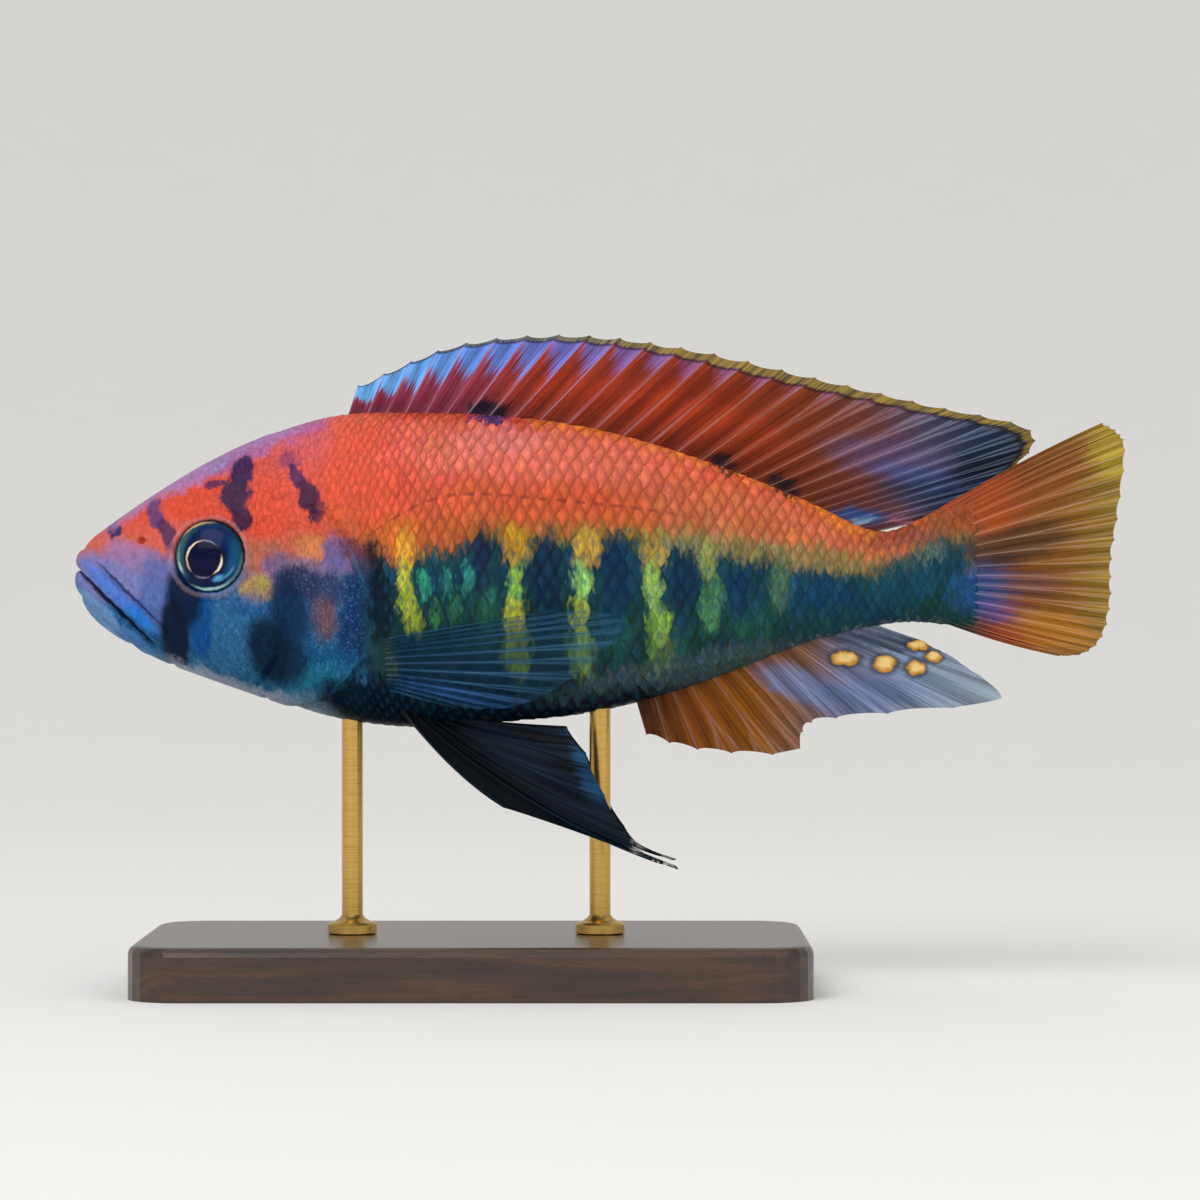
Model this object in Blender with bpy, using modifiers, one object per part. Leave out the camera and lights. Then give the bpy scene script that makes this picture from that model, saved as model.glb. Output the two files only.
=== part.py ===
"""A male lake cichlid, life size, swimming over a wooden base on two brass rods.

The fish faces -X with its left flank toward -Y. Its own sizes are in millimetres: s runs along
the fish from the tip of the snout, y across it, z up from the level of the mouth.
"""
import math

import bmesh
import bpy
import numpy as np
from mathutils import Matrix, Vector

MODEL = "haplochromine_cichlid"
MM = 0.001
GAP = 0.3
MERGE = 0.002
SHARP_ANGLE = math.radians(40)

# Where the fish stands in the frame, and how its tail bends toward the near side
MID_LENGTH = 59.7
AXIS_HEIGHT = 47.0
SWING_START = 60.0
SWING_LENGTH = 60.0
TAIL_SWING = 7.0

# Body outline: s, back, belly, half width
BODY_STATIONS = (
    (0.45, -0.2, -0.2, 0.0),
    (1.2, 3.2, -3.6, 2.4),
    (4.0, 5.7, -6.5, 3.8),
    (9.7, 9.6, -9.7, 5.3),
    (15.4, 13.0, -11.9, 6.5),
    (22.0, 16.0, -14.0, 7.5),
    (30.0, 18.3, -16.4, 8.3),
    (39.0, 18.6, -17.4, 8.4),
    (50.0, 18.1, -16.7, 7.8),
    (60.0, 16.6, -15.5, 6.8),
    (71.4, 13.3, -12.4, 5.2),
    (82.9, 8.8, -8.0, 3.6),
    (91.0, 5.1, -5.9, 2.6),
    (95.5, 6.0, -5.4, 2.1),
    (99.5, 8.2, -5.8, 1.6),
)
TABLE_STEPS = 24
UPPER_POWER = 1.85
LOWER_POWER = 2.15
HEAD_LENGTH = 34.0
HEAD_RINGS = 22
HEAD_SPACING = 1.5
TRUNK_RINGS = 18
RING_POINTS = 40
NARROWEST = 0.1

# Cuts between the solids, in side view
GILL_LINE = ((28.6, 22.0), (28.8, 6.5), (31.5, 2.5), (32.6, -3.0), (32.2, -8.0), (29.5, -13.0), (24.0, -20.0))
STALK_CUT = 91.5
CUT_REACH = 30.0
JAW_START = -4.0
MOUTH_FRONT = (0.3, 0.9)
MOUTH_CORNER = (9.4, -7.9)
JAW_THROAT = (13.6, -15.0)

# Lips, nostrils, eyes
LIP_RADIUS = 0.8
LIP_CORNER_RADIUS = 0.45
LIP_OFFSET = 0.65
UPPER_LIP_INSET = 0.55
LOWER_LIP_INSET = 0.35
LIP_POINTS = 15
NOSTRIL = (8.0, 3.9)
NOSTRIL_RADIUS = 0.5
EYE_CENTRE = (15.4, 5.2, 2.0)
EYE_RADIUS = 4.5
EYE_DEPTH = 2.3
EYE_YAW = math.radians(10)
EYE_ROLL = math.radians(6)
EYE_SEGMENTS = 22
EYE_RINGS = 12

# Gill cover plates: front line and free rear edge, from the top down
COVER_FRONT = ((25.7, 4.9), (24.4, 0.4), (24.0, -4.6), (23.0, -9.2), (20.8, -12.4))
COVER_REAR = ((28.9, 6.6), (31.9, 2.7), (34.1, -3.2), (33.4, -8.8), (29.2, -13.6))
COVER_ROWS = 13
COVER_COLUMNS = 9
COVER_HEIGHT = 20.0
COVER_DEPTH = 0.55
COVER_LIFT = 0.5
RECESS_REACH = 2.5

# Fins: a membrane with raised rays
MEMBRANE = 0.5
MARGIN = 0.36
RAY_RISE = 0.28
RAY_FOOT = 0.2
RAY_TAPER = 0.6
RAY_STEEPNESS = 0.6
ROOT_REACH = 0.3
NOTCH = 0.45
FIN_STEPS = (0.0, 0.1, 0.3, 0.55, 0.8, 1.0)

# Dorsal: root s, tip s, tip y, tip z
DORSAL_RAYS = (
    (31.2, 32.3, 0.1, 21.7),
    (39.4, 43.9, 0.4, 26.4),
    (48.6, 57.1, 0.7, 27.5),
    (60.0, 70.3, 0.5, 25.9),
    (71.4, 84.6, 0.2, 22.6),
    (78.3, 97.7, 0.6, 19.5),
    (84.0, 109.4, 1.0, 16.6),
    (87.4, 106.9, 0.8, 12.6),
    (90.3, 97.2, -0.6, 7.6),
)
DORSAL_PLACES = np.concatenate((np.linspace(0.0, 4.0, 16), np.linspace(4.35, 8.0, 10)))
DORSAL_ROOT = 0.35

# Caudal: root z, tip s, tip z, bow of the ray
CAUDAL_ROOT_S = 99.8
CAUDAL_RAYS = (
    (8.0, 116.8, 17.2, 0.4),
    (6.8, 118.5, 16.1, 0.4),
    (5.4, 119.3, 14.1, 0.3),
    (3.0, 118.6, 7.5, 0.2),
    (0.8, 117.8, 1.8, 0.0),
    (-1.3, 117.7, -3.0, 0.0),
    (-3.3, 116.8, -7.0, -0.1),
    (-4.7, 114.8, -8.9, -0.2),
    (-5.6, 111.9, -9.2, -0.3),
)
CAUDAL_COUNT = 17
CAUDAL_ROOT = 0.8

# Anal: root s, tip s, tip z
ANAL_RAYS = (
    (64.1, 65.3, -18.3),
    (67.2, 69.6, -19.7),
    (70.5, 75.5, -20.4),
    (74.5, 82.3, -20.3),
    (76.5, 83.4, -17.6),
    (79.0, 86.0, -16.5),
    (83.0, 95.0, -15.6),
    (86.5, 105.6, -14.2),
    (89.0, 101.7, -10.4),
    (91.0, 97.0, -7.6),
)
ANAL_COUNT = 13
ANAL_ROOT = 0.3
ANAL_TUCK = 0.6

# Pectoral: root s, root z, tip s, tip y, tip z
PECTORAL_RAYS = (
    (35.2, -7.3, 54.8, 11.2, -4.0),
    (35.3, -8.0, 61.2, 11.2, -4.4),
    (35.4, -8.8, 62.4, 11.0, -6.2),
    (35.6, -10.0, 59.5, 10.8, -9.6),
    (35.8, -11.2, 54.5, 10.2, -13.2),
    (36.0, -12.1, 49.5, 9.6, -15.0),
    (36.2, -12.9, 43.4, 8.4, -15.0),
)
PECTORAL_COUNT = 13
PECTORAL_ROOT = 0.3
PECTORAL_SINK = 0.6
PECTORAL_FLARE = 4

# Pelvic: root s, root y, tip s, tip y, tip z, sag of the ray
PELVIC_RAYS = (
    (37.0, 4.0, 49.1, 7.0, -26.2, 1.1),
    (37.8, 3.6, 68.4, 8.0, -33.0, 1.9),
    (38.6, 3.1, 64.4, 7.5, -31.0, 1.2),
    (39.4, 2.6, 61.4, 6.7, -26.6, 0.8),
    (40.1, 2.1, 58.8, 5.6, -21.2, 0.4),
    (40.7, 1.7, 56.2, 4.2, -17.4, 0.1),
)
PELVIC_COUNT = 7
PELVIC_ROOT = 0.4
PELVIC_SINK = 0.7

# Stand
BASE_CENTRE_X = -14.0
BASE_LENGTH = 76.0
BASE_WIDTH = 44.0
BASE_HEIGHT = 6.0
BASE_CORNER = 6.0
BASE_BEVEL = 1.0
ROD_PLACES = (("stand_rod_front", 31.7), ("stand_rod_rear", 60.0))
ROD_RADIUS = 1.2
COLLAR_RADIUS = 2.8
COLLAR_HEIGHT = 1.8
COLLAR_EDGE = 0.4
ROD_OVERRUN = 2.5
ROD_STEPS = 16

# Colour, roughness, metallic
LOOKS = {
    "head": ((0.30, 0.22, 0.45), 0.40, 0.0),
    "lower_jaw": ((0.22, 0.40, 0.62), 0.40, 0.0),
    "torso": ((0.62, 0.22, 0.10), 0.42, 0.0),
    "tail_stalk": ((0.10, 0.26, 0.28), 0.42, 0.0),
    "gill_cover": ((0.16, 0.20, 0.45), 0.35, 0.0),
    "eye": ((0.01, 0.02, 0.06), 0.08, 0.0),
    "dorsal_fin": ((0.36, 0.12, 0.10), 0.45, 0.0),
    "caudal_fin": ((0.50, 0.20, 0.06), 0.45, 0.0),
    "anal_fin": ((0.28, 0.20, 0.20), 0.45, 0.0),
    "pectoral_fin": ((0.28, 0.42, 0.55), 0.40, 0.0),
    "pelvic_fin": ((0.01, 0.015, 0.04), 0.45, 0.0),
    "stand_base": ((0.05, 0.03, 0.02), 0.35, 0.0),
    "stand_rod": ((0.65, 0.48, 0.20), 0.30, 1.0),
}


def clear_scene():
    """Start from an empty scene."""
    for item in list(bpy.data.objects):
        bpy.data.objects.remove(item, do_unlink=True)


def collect(name):
    """A collection in the scene under this name."""
    group = bpy.data.collections.new(name)
    bpy.context.scene.collection.children.link(group)
    return group


def finish_look(name):
    """Principled material of one kind of piece, shared by its left and right."""
    material = bpy.data.materials.get(name)
    if material is None:
        material = bpy.data.materials.new(name)
        material.use_nodes = True
        colour, roughness, metallic = LOOKS[name]
        shader = material.node_tree.nodes["Principled BSDF"]
        shader.inputs["Base Color"].default_value = (*colour, 1.0)
        shader.inputs["Roughness"].default_value = roughness
        shader.inputs["Metallic"].default_value = metallic
    return material


def catmull(rows, at, before=None):
    """Smooth curve through rows of numbers, read at places counted in rows."""
    rows = np.asarray(rows, float)
    if before is None:
        before = 2 * rows[0] - rows[1]
    padded = np.vstack((before, rows, 2 * rows[-1] - rows[-2]))
    span = np.clip(np.floor(at).astype(int), 0, len(rows) - 2)
    t = (at - span)[:, None]
    p0, p1, p2, p3 = (padded[span + k] for k in range(4))
    line = (p2 - p0) * t
    bend = (2 * p0 - 5 * p1 + 4 * p2 - p3) * t ** 2
    twist = (3 * (p1 - p2) + p3 - p0) * t ** 3
    return p1 + (line + bend + twist) / 2


def body_table():
    """Fine rows of s, back, belly and half width, blunt at the snout."""
    rows = np.array(BODY_STATIONS)
    mirrored = 2 * rows[0] - rows[1]
    mirrored[0] = rows[1][0]
    at = np.linspace(0, len(rows) - 1, (len(rows) - 1) * TABLE_STEPS + 1)
    return catmull(rows, at, before=mirrored)


TABLE = body_table()


def profile(s):
    """Back, belly and half width of the body at s."""
    return [np.interp(s, TABLE[:, 0], TABLE[:, column]) for column in (1, 2, 3)]


def flank(s, z):
    """Half width of the body at s and z, nothing above the back or under the belly."""
    back, belly, width = profile(s)
    middle = (back + belly) / 2
    part = np.abs(z - middle) / ((back - belly) / 2)
    power = np.where(z >= middle, UPPER_POWER, LOWER_POWER)
    return width * np.clip(1 - part ** power, 0, 1) ** (1 / power)


def underside(s, y):
    """Height of the belly's surface at s and y."""
    back, belly, width = profile(s)
    part = np.clip(np.abs(y) / width, 0, 1)
    return (back + belly) / 2 - (back - belly) / 2 * (1 - part ** LOWER_POWER) ** (1 / LOWER_POWER)


def swing(s):
    """How far the body stands toward the near side at s."""
    return TAIL_SWING * (np.maximum(s - SWING_START, 0) / SWING_LENGTH) ** 2


def bend(points):
    """Move rows of s, y, z with the bend of the tail."""
    bent = np.array(points, float)
    bent[..., 1] -= swing(bent[..., 0])
    return bent


def to_frame(points):
    """Rows of s, y, z in millimetres as metres in the frame."""
    return (np.asarray(points, float) + (-MID_LENGTH, 0, AXIS_HEIGHT)) * MM


def add_item(name, mesh):
    """A plain object of this mesh, in the scene for the time being."""
    item = bpy.data.objects.new(name, mesh)
    bpy.context.scene.collection.objects.link(item)
    return item


def item_from_bmesh(name, mesh):
    """An object of a bmesh, in triangles, with its faces turned outward."""
    bmesh.ops.recalc_face_normals(mesh, faces=mesh.faces)
    bmesh.ops.triangulate(mesh, faces=mesh.faces)
    data = bpy.data.meshes.new(name)
    mesh.to_mesh(data)
    mesh.free()
    return add_item(name, data)


def copy_item(item, name):
    """A copy with a mesh of its own."""
    return add_item(name, item.data.copy())


def remove(items):
    """Take working pieces out of the file."""
    for item in items:
        bpy.data.objects.remove(item, do_unlink=True)


def loft(name, rings):
    """Closed solid through rings of as many points each, with flat ends."""
    mesh = bmesh.new()
    loops = [[mesh.verts.new(point) for point in ring] for ring in rings]
    count = len(loops[0])
    for here, there in zip(loops, loops[1:]):
        for k in range(count):
            m = (k + 1) % count
            mesh.faces.new((here[k], there[k], there[m], here[m]))
    mesh.faces.new(loops[0])
    mesh.faces.new(loops[-1])
    return item_from_bmesh(name, mesh)


def body_ring(s, grow):
    """Points round the body at s, a superellipse whose back is the sharper half."""
    back, belly, width = profile(s)
    angles = np.arange(RING_POINTS) * math.tau / RING_POINTS + math.pi / 2
    across = np.round(np.cos(angles), 9)
    upward = np.round(np.sin(angles), 9)
    power = 2 / np.where(upward >= 0, UPPER_POWER, LOWER_POWER)
    y = (width + grow) * np.sign(across) * np.abs(across) ** power
    z = (back + belly) / 2 + ((back - belly) / 2 + grow) * np.sign(upward) * np.abs(upward) ** power
    return np.column_stack((np.full(RING_POINTS, s), y, z))


def body(name, grow=0.0):
    """The whole body from snout to tail root, with no fins, lips or eyes."""
    start = TABLE[0, 0]
    head = start + NARROWEST + (HEAD_LENGTH - start) * np.linspace(0, 1, HEAD_RINGS) ** HEAD_SPACING
    trunk = np.linspace(head[-1], TABLE[-1, 0], TRUNK_RINGS + 1)[1:]
    rings = [to_frame(bend(body_ring(s, grow))) for s in (*head, *trunk)]
    return loft(name, rings)


def mesh_from_curve(item):
    """Turn a curve object into a mesh object with its caps welded on."""
    bpy.context.view_layer.update()
    evaluated = item.evaluated_get(bpy.context.evaluated_depsgraph_get())
    data = bpy.data.meshes.new_from_object(evaluated)
    mesh = bmesh.new()
    mesh.from_mesh(data)
    bmesh.ops.remove_doubles(mesh, verts=mesh.verts, dist=MERGE * MM)
    bmesh.ops.transform(mesh, matrix=item.matrix_world, verts=mesh.verts)
    name = item.name
    remove([item])
    return item_from_bmesh(name, mesh)


def slab(name, outline):
    """Solid right across the fish with this outline of s and z."""
    curve = bpy.data.curves.new(name, "CURVE")
    curve.dimensions = "2D"
    curve.fill_mode = "BOTH"
    curve.extrude = CUT_REACH * MM
    line = curve.splines.new("POLY")
    line.points.add(len(outline) - 1)
    for point, (s, z) in zip(line.points, outline):
        point.co = ((s - MID_LENGTH) * MM, (z + AXIS_HEIGHT) * MM, 0, 1)
    line.use_cyclic_u = True
    item = add_item(name, curve)
    item.rotation_euler.x = math.pi / 2
    return mesh_from_curve(item)


def tube(name, points, radii):
    """Round bar through the points, with a radius at each."""
    curve = bpy.data.curves.new(name, "CURVE")
    curve.dimensions = "3D"
    curve.bevel_depth = MM
    curve.bevel_resolution = 2
    curve.use_fill_caps = True
    line = curve.splines.new("POLY")
    line.points.add(len(points) - 1)
    for target, place, radius in zip(line.points, to_frame(points), radii):
        target.co = (*place, 1)
        target.radius = radius
    return mesh_from_curve(add_item(name, curve))


def ball(name, centre, scales, turn=Matrix()):
    """Stretched sphere with its poles toward the sides."""
    mesh = bmesh.new()
    bmesh.ops.create_uvsphere(mesh, u_segments=EYE_SEGMENTS, v_segments=EYE_RINGS, radius=1)
    stretch = Matrix.Diagonal((*(size * MM for size in scales), 1))
    lay = Matrix.Rotation(math.pi / 2, 4, "X")
    place = Matrix.Translation(Vector(to_frame(centre)))
    bmesh.ops.transform(mesh, matrix=place @ turn @ stretch @ lay, verts=mesh.verts)
    return item_from_bmesh(name, mesh)


def keep_largest(item):
    """Keep the largest closed surface of an object and drop loose scraps."""
    mesh = bmesh.new()
    mesh.from_mesh(item.data)
    bmesh.ops.remove_doubles(mesh, verts=mesh.verts, dist=MERGE * MM)
    left = set(mesh.faces)
    islands = []
    while left:
        front = [left.pop()]
        island = []
        while front:
            face = front.pop()
            island.append(face)
            touching = {other for edge in face.edges for other in edge.link_faces} & left
            left -= touching
            front.extend(touching)
        islands.append(island)
    islands.sort(key=lambda island: sum(face.calc_area() for face in island))
    scraps = [face for island in islands[:-1] for face in island]
    bmesh.ops.delete(mesh, geom=scraps, context="FACES")
    bmesh.ops.triangulate(mesh, faces=mesh.faces)
    mesh.to_mesh(item.data)
    mesh.free()


def apply_modifiers(item):
    """Make the evaluated shape the object's own mesh."""
    bpy.context.view_layer.update()
    evaluated = item.evaluated_get(bpy.context.evaluated_depsgraph_get())
    shaped = bpy.data.meshes.new_from_object(evaluated)
    item.modifiers.clear()
    item.data = shaped


def cut(item, tool, operation="DIFFERENCE"):
    """Cut one closed solid by another and keep the largest piece."""
    modifier = item.modifiers.new(operation.lower(), "BOOLEAN")
    modifier.operation = operation
    modifier.object = tool
    apply_modifiers(item)
    keep_largest(item)


def fuse(item, pieces):
    """Join closed pieces to an object in one union."""
    group = bpy.data.collections.new("pieces")
    for piece in pieces:
        group.objects.link(piece)
    modifier = item.modifiers.new("union", "BOOLEAN")
    modifier.operation = "UNION"
    modifier.operand_type = "COLLECTION"
    modifier.collection = group
    apply_modifiers(item)
    keep_largest(item)
    remove(pieces)
    bpy.data.collections.remove(group)


def keep(item, group, kind):
    """File a finished piece in the model's collection with its material."""
    for home in list(item.users_collection):
        home.objects.unlink(item)
    group.objects.link(item)
    item.data.materials.clear()
    item.data.materials.append(finish_look(kind))
    centre = sum((vertex.co for vertex in item.data.vertices), Vector()) / len(item.data.vertices)
    item.data.transform(Matrix.Translation(-centre))
    item.location = centre
    item.data.name = item.name
    item.data.shade_smooth()
    item.data.set_sharp_from_angle(angle=SHARP_ANGLE)
    return item


def offset_line(line, distance):
    """A line of s and z moved to its own left by a distance."""
    line = np.array(line, float)
    along = np.gradient(line, axis=0)
    along /= np.linalg.norm(along, axis=1, keepdims=True)
    return line + distance * np.column_stack((-along[:, 1], along[:, 0]))


def mouth_level(s):
    """Height of the line of the mouth at s."""
    slope = (MOUTH_CORNER[1] - MOUTH_FRONT[1]) / (MOUTH_CORNER[0] - MOUTH_FRONT[0])
    return MOUTH_FRONT[1] + slope * (s - MOUTH_FRONT[0])


def lip(name, offset, depth):
    """Rounded lip sunk in the body's surface, beside the line of the mouth."""
    front = TABLE[np.argmax(TABLE[:, 1] >= mouth_level(TABLE[:, 0]) + offset), 0]
    t = np.linspace(-1, 1, LIP_POINTS)
    s = front + (MOUTH_CORNER[0] - front) * t ** 2
    z = mouth_level(s) + offset
    y = np.sign(t) * np.maximum(flank(s, z) - depth, 0)
    inset = depth * (1 - np.abs(t)) ** 2
    radii = LIP_RADIUS + (LIP_CORNER_RADIUS - LIP_RADIUS) * np.abs(t) ** 3
    return tube(name, np.column_stack((s + inset, y, z)), radii)


def jaw_wedge(name, grow):
    """Block below the line of the mouth that parts the lower jaw from the head."""
    front = (JAW_START, mouth_level(JAW_START))
    line = offset_line((front, MOUTH_CORNER, JAW_THROAT), grow)
    return slab(name, (*line, (front[0], JAW_THROAT[1] - CUT_REACH)))


def cover_grid(rows, columns, grow):
    """Points over a gill cover on the body's surface, for the right side."""
    down = np.linspace(0, 1, rows)
    if grow:
        down = np.concatenate(([-grow / COVER_HEIGHT], down, [1 + grow / COVER_HEIGHT]))
    at = down * (len(COVER_FRONT) - 1)
    front = catmull(COVER_FRONT, at)
    rear = catmull(COVER_REAR, at)
    across = (rear - front) / np.linalg.norm(rear - front, axis=1, keepdims=True)
    front = front - across * grow
    rear = rear + across * grow
    u = np.linspace(0, 1, columns)[None, :, None]
    sheet = front[:, None] * (1 - u) + rear[:, None] * u
    s, z = sheet[..., 0], sheet[..., 1]
    return np.stack((s, flank(s, z), z), axis=-1)


def vane(name, grid, below, above):
    """Closed thin shell about a grid of points, both faces split into triangles alike."""
    along = np.gradient(grid, axis=0)
    across = np.gradient(grid, axis=1)
    normal = np.cross(along, across)
    normal /= np.linalg.norm(normal, axis=-1, keepdims=True)
    mesh = bmesh.new()
    faces = []
    for thickness in (above, -below):
        points = to_frame(grid + normal * np.broadcast_to(thickness, grid.shape[:2])[..., None])
        faces.append([[mesh.verts.new(point) for point in row] for row in points])
    over, under = faces
    rows, columns = grid.shape[:2]
    for r in range(rows - 1):
        for c in range(columns - 1):
            corners = ((r, c), (r + 1, c), (r + 1, c + 1), (r, c + 1))
            for trio in (corners[:3], (corners[0], corners[2], corners[3])):
                mesh.faces.new([over[i][j] for i, j in trio])
                mesh.faces.new([under[i][j] for i, j in reversed(trio)])
    rim = [(0, c) for c in range(columns - 1)]
    rim += [(r, columns - 1) for r in range(rows - 1)]
    rim += [(rows - 1, c) for c in range(columns - 1, 0, -1)]
    rim += [(r, 0) for r in range(rows - 1, 0, -1)]
    for (i, j), (k, m) in zip(rim, rim[1:] + rim[:1]):
        mesh.faces.new((over[i][j], under[i][j], under[k][m], over[k][m]))
    return item_from_bmesh(name, mesh)


def ray_fan(control, places):
    """Control rows spread over a fin's columns, and which columns are the tops of rays."""
    columns = [0.0]
    for ray in range(len(places) - 1):
        columns += [ray + RAY_FOOT, ray + 1 - RAY_FOOT, ray + 1.0]
    at = np.interp(columns, np.arange(len(places)), places)
    tops = np.array(columns) == np.round(columns)
    return catmull(control, at), tops


def fin_grid(roots, tips, tops):
    """Straight rays from roots to tips, the membrane's edge drawn back between them."""
    reach = np.linalg.norm(tips - roots, axis=1)
    share = np.where(tops, 1, 1 - NOTCH / reach)
    steps = np.array(FIN_STEPS)[:, None, None]
    return roots + (tips - roots) * share[:, None] * steps


def fin_thickness(grid, tops, root):
    """Half thickness over a fin: stout at the root, then membrane with tapering rays.

    Where the rays stand close together they rise no more than the room between them allows.
    """
    steps = np.array(FIN_STEPS)[:, None]
    sheet = MEMBRANE + (MARGIN - MEMBRANE) * (steps > 0.99)
    flare = root * np.clip(1 - steps / ROOT_REACH, 0, 1) ** 2
    room = np.linalg.norm(np.gradient(grid, axis=1), axis=-1)
    rise = np.minimum(RAY_RISE * (1 - RAY_TAPER * steps), RAY_STEEPNESS * room)
    return sheet / 2 + flare + tops * rise


def fin(name, grid, tops, root):
    """A fin from its grid of points."""
    half = fin_thickness(grid, tops, root)
    return vane(name, grid, half, half)


def dorsal_fin():
    """Long fin along the back: stiff spines in front, soft rays swept past the tail root."""
    rows, tops = ray_fan(DORSAL_RAYS, DORSAL_PLACES)
    s = rows[:, 0]
    roots = np.column_stack((s, -swing(s), profile(s)[0] + GAP))
    return fin("dorsal_fin", fin_grid(roots, rows[:, 1:4], tops), tops, DORSAL_ROOT)


def caudal_fin():
    """Tail fin, spread, bending on with the tail."""
    rows, tops = ray_fan(CAUDAL_RAYS, np.linspace(0, len(CAUDAL_RAYS) - 1, CAUDAL_COUNT))
    none = np.zeros(len(rows))
    roots = np.column_stack((none + CAUDAL_ROOT_S, none, rows[:, 0]))
    tips = np.column_stack((rows[:, 1], none, rows[:, 2]))
    grid = fin_grid(roots, tips, tops)
    steps = np.array(FIN_STEPS)[:, None]
    grid[..., 2] += rows[:, 3] * 4 * steps * (1 - steps)
    return fin("caudal_fin", bend(grid), tops, CAUDAL_ROOT)


def anal_fin():
    """Fin under the rear body, its rear tip drawn out."""
    rows, tops = ray_fan(ANAL_RAYS, np.linspace(0, len(ANAL_RAYS) - 1, ANAL_COUNT))
    s = rows[:, 0]
    roots = np.column_stack((s, -swing(s), profile(s)[1] - GAP))
    tips = np.column_stack((rows[:, 1], -ANAL_TUCK * swing(rows[:, 1]), rows[:, 2]))
    return fin("anal_fin", fin_grid(roots, tips, tops), tops, ANAL_ROOT)


def pectoral_fin(name, side):
    """Fan behind the gill cover, held out and back from the flank."""
    rows, tops = ray_fan(PECTORAL_RAYS, np.linspace(0, len(PECTORAL_RAYS) - 1, PECTORAL_COUNT))
    s, z = rows[:, 0], rows[:, 1]
    roots = np.column_stack((s, flank(s, z) - PECTORAL_SINK, z))
    grid = fin_grid(roots, rows[:, 2:5], tops)
    steps = np.array(FIN_STEPS)[:, None]
    outward = 1 - (1 - steps) ** PECTORAL_FLARE
    grid[..., 1] = roots[:, 1] + (rows[:, 3] - roots[:, 1]) * outward
    grid[..., 1] *= side
    return fin(name, grid, tops, PECTORAL_ROOT)


def pelvic_fin(name, side):
    """Paired fin under the belly with a long drawn-out first ray."""
    rows, tops = ray_fan(PELVIC_RAYS, np.linspace(0, len(PELVIC_RAYS) - 1, PELVIC_COUNT))
    s, y = rows[:, 0], rows[:, 1]
    roots = np.column_stack((s, y, underside(s, y) + PELVIC_SINK))
    grid = fin_grid(roots, rows[:, 2:5], tops)
    steps = np.array(FIN_STEPS)[:, None]
    grid[..., 2] -= rows[:, 5] * 4 * steps * (1 - steps)
    grid[..., 1] *= side
    return fin(name, grid, tops, PELVIC_ROOT)


def eye(name, side, grow=0.0):
    """Eyeball, flattened, looking a little forward and up."""
    s, y, z = EYE_CENTRE
    turn = Matrix.Rotation(side * EYE_YAW, 4, "Z") @ Matrix.Rotation(side * EYE_ROLL, 4, "X")
    scales = (EYE_RADIUS + grow, EYE_DEPTH + grow, EYE_RADIUS + grow)
    return ball(name, (s, side * y, z), scales, turn)


def nostril(name, side):
    """Small pit on the snout."""
    s, z = NOSTRIL
    return ball(name, (s, side * float(flank(s, z)), z), (NOSTRIL_RADIUS,) * 3)


def gill_cover(name, side, grow=0.0):
    """Thin plate on the cheek, its rear edge standing clear of the flank, or its recess."""
    grid = cover_grid(COVER_ROWS, COVER_COLUMNS, grow)
    grid[..., 1] *= side
    lift = np.linspace(0, COVER_LIFT, COVER_COLUMNS)[None, :]
    outer = np.full(grid.shape[:2], RECESS_REACH) if grow else np.broadcast_to(lift, grid.shape[:2])
    inner = np.full(grid.shape[:2], COVER_DEPTH + grow)
    if side > 0:
        return vane(name, grid, outer, inner)
    return vane(name, grid, inner, outer)


def flesh(group):
    """Head, lower jaw, torso and tail stalk, cut from one body."""
    whole = body("whole")
    upper_lip = lip("upper_lip", LIP_OFFSET, UPPER_LIP_INSET)
    lower_lip = lip("lower_lip", -LIP_OFFSET, LOWER_LIP_INSET)
    fuse(whole, [upper_lip, lower_lip])
    front_line = offset_line(GILL_LINE, -GAP / 2)
    rear_line = offset_line(GILL_LINE, GAP / 2)
    left, right = -CUT_REACH, 2 * MID_LENGTH
    low, high = -CUT_REACH, CUT_REACH
    ahead = slab("ahead", (*front_line, (left, low), (left, high)))
    behind = (STALK_CUT - GAP / 2, low), (STALK_CUT - GAP / 2, high)
    middle = slab("middle", (*rear_line, *behind))
    after = slab("after", [(STALK_CUT + GAP / 2, low), (right, low), (right, high), (STALK_CUT + GAP / 2, high)])
    wedge = jaw_wedge("wedge", 0.0)
    wide_wedge = jaw_wedge("wide_wedge", GAP)
    recesses = [gill_cover("recess", side, GAP) for side in (-1, 1)]
    hollows = [eye("socket", side, GAP) for side in (-1, 1)]
    hollows += [nostril("nostril", side) for side in (-1, 1)]
    head = copy_item(whole, "head")
    cut(head, ahead, "INTERSECT")
    jaw = copy_item(head, "lower_jaw")
    cut(jaw, wedge, "INTERSECT")
    torso = copy_item(whole, "torso")
    cut(torso, middle, "INTERSECT")
    stalk = copy_item(whole, "tail_stalk")
    cut(stalk, after, "INTERSECT")
    for tool in (wide_wedge, *recesses, *hollows):
        cut(head, tool)
    for tool in recesses:
        cut(torso, tool)
    remove([whole, ahead, middle, after, wedge, wide_wedge, *recesses, *hollows])
    for item in (head, jaw, torso, stalk):
        keep(item, group, item.name)


def paired_pieces(group, grown):
    """Eyes, gill covers, pectoral and pelvic fins of the left and the right side."""
    for word, side in (("left", -1), ("right", 1)):
        keep(eye(f"eye_{word}", side), group, "eye")
        keep(gill_cover(f"gill_cover_{word}", side), group, "gill_cover")
        for kind, make in (("pectoral_fin", pectoral_fin), ("pelvic_fin", pelvic_fin)):
            piece = make(f"{kind}_{word}", side)
            cut(piece, grown)
            keep(piece, group, kind)


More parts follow.
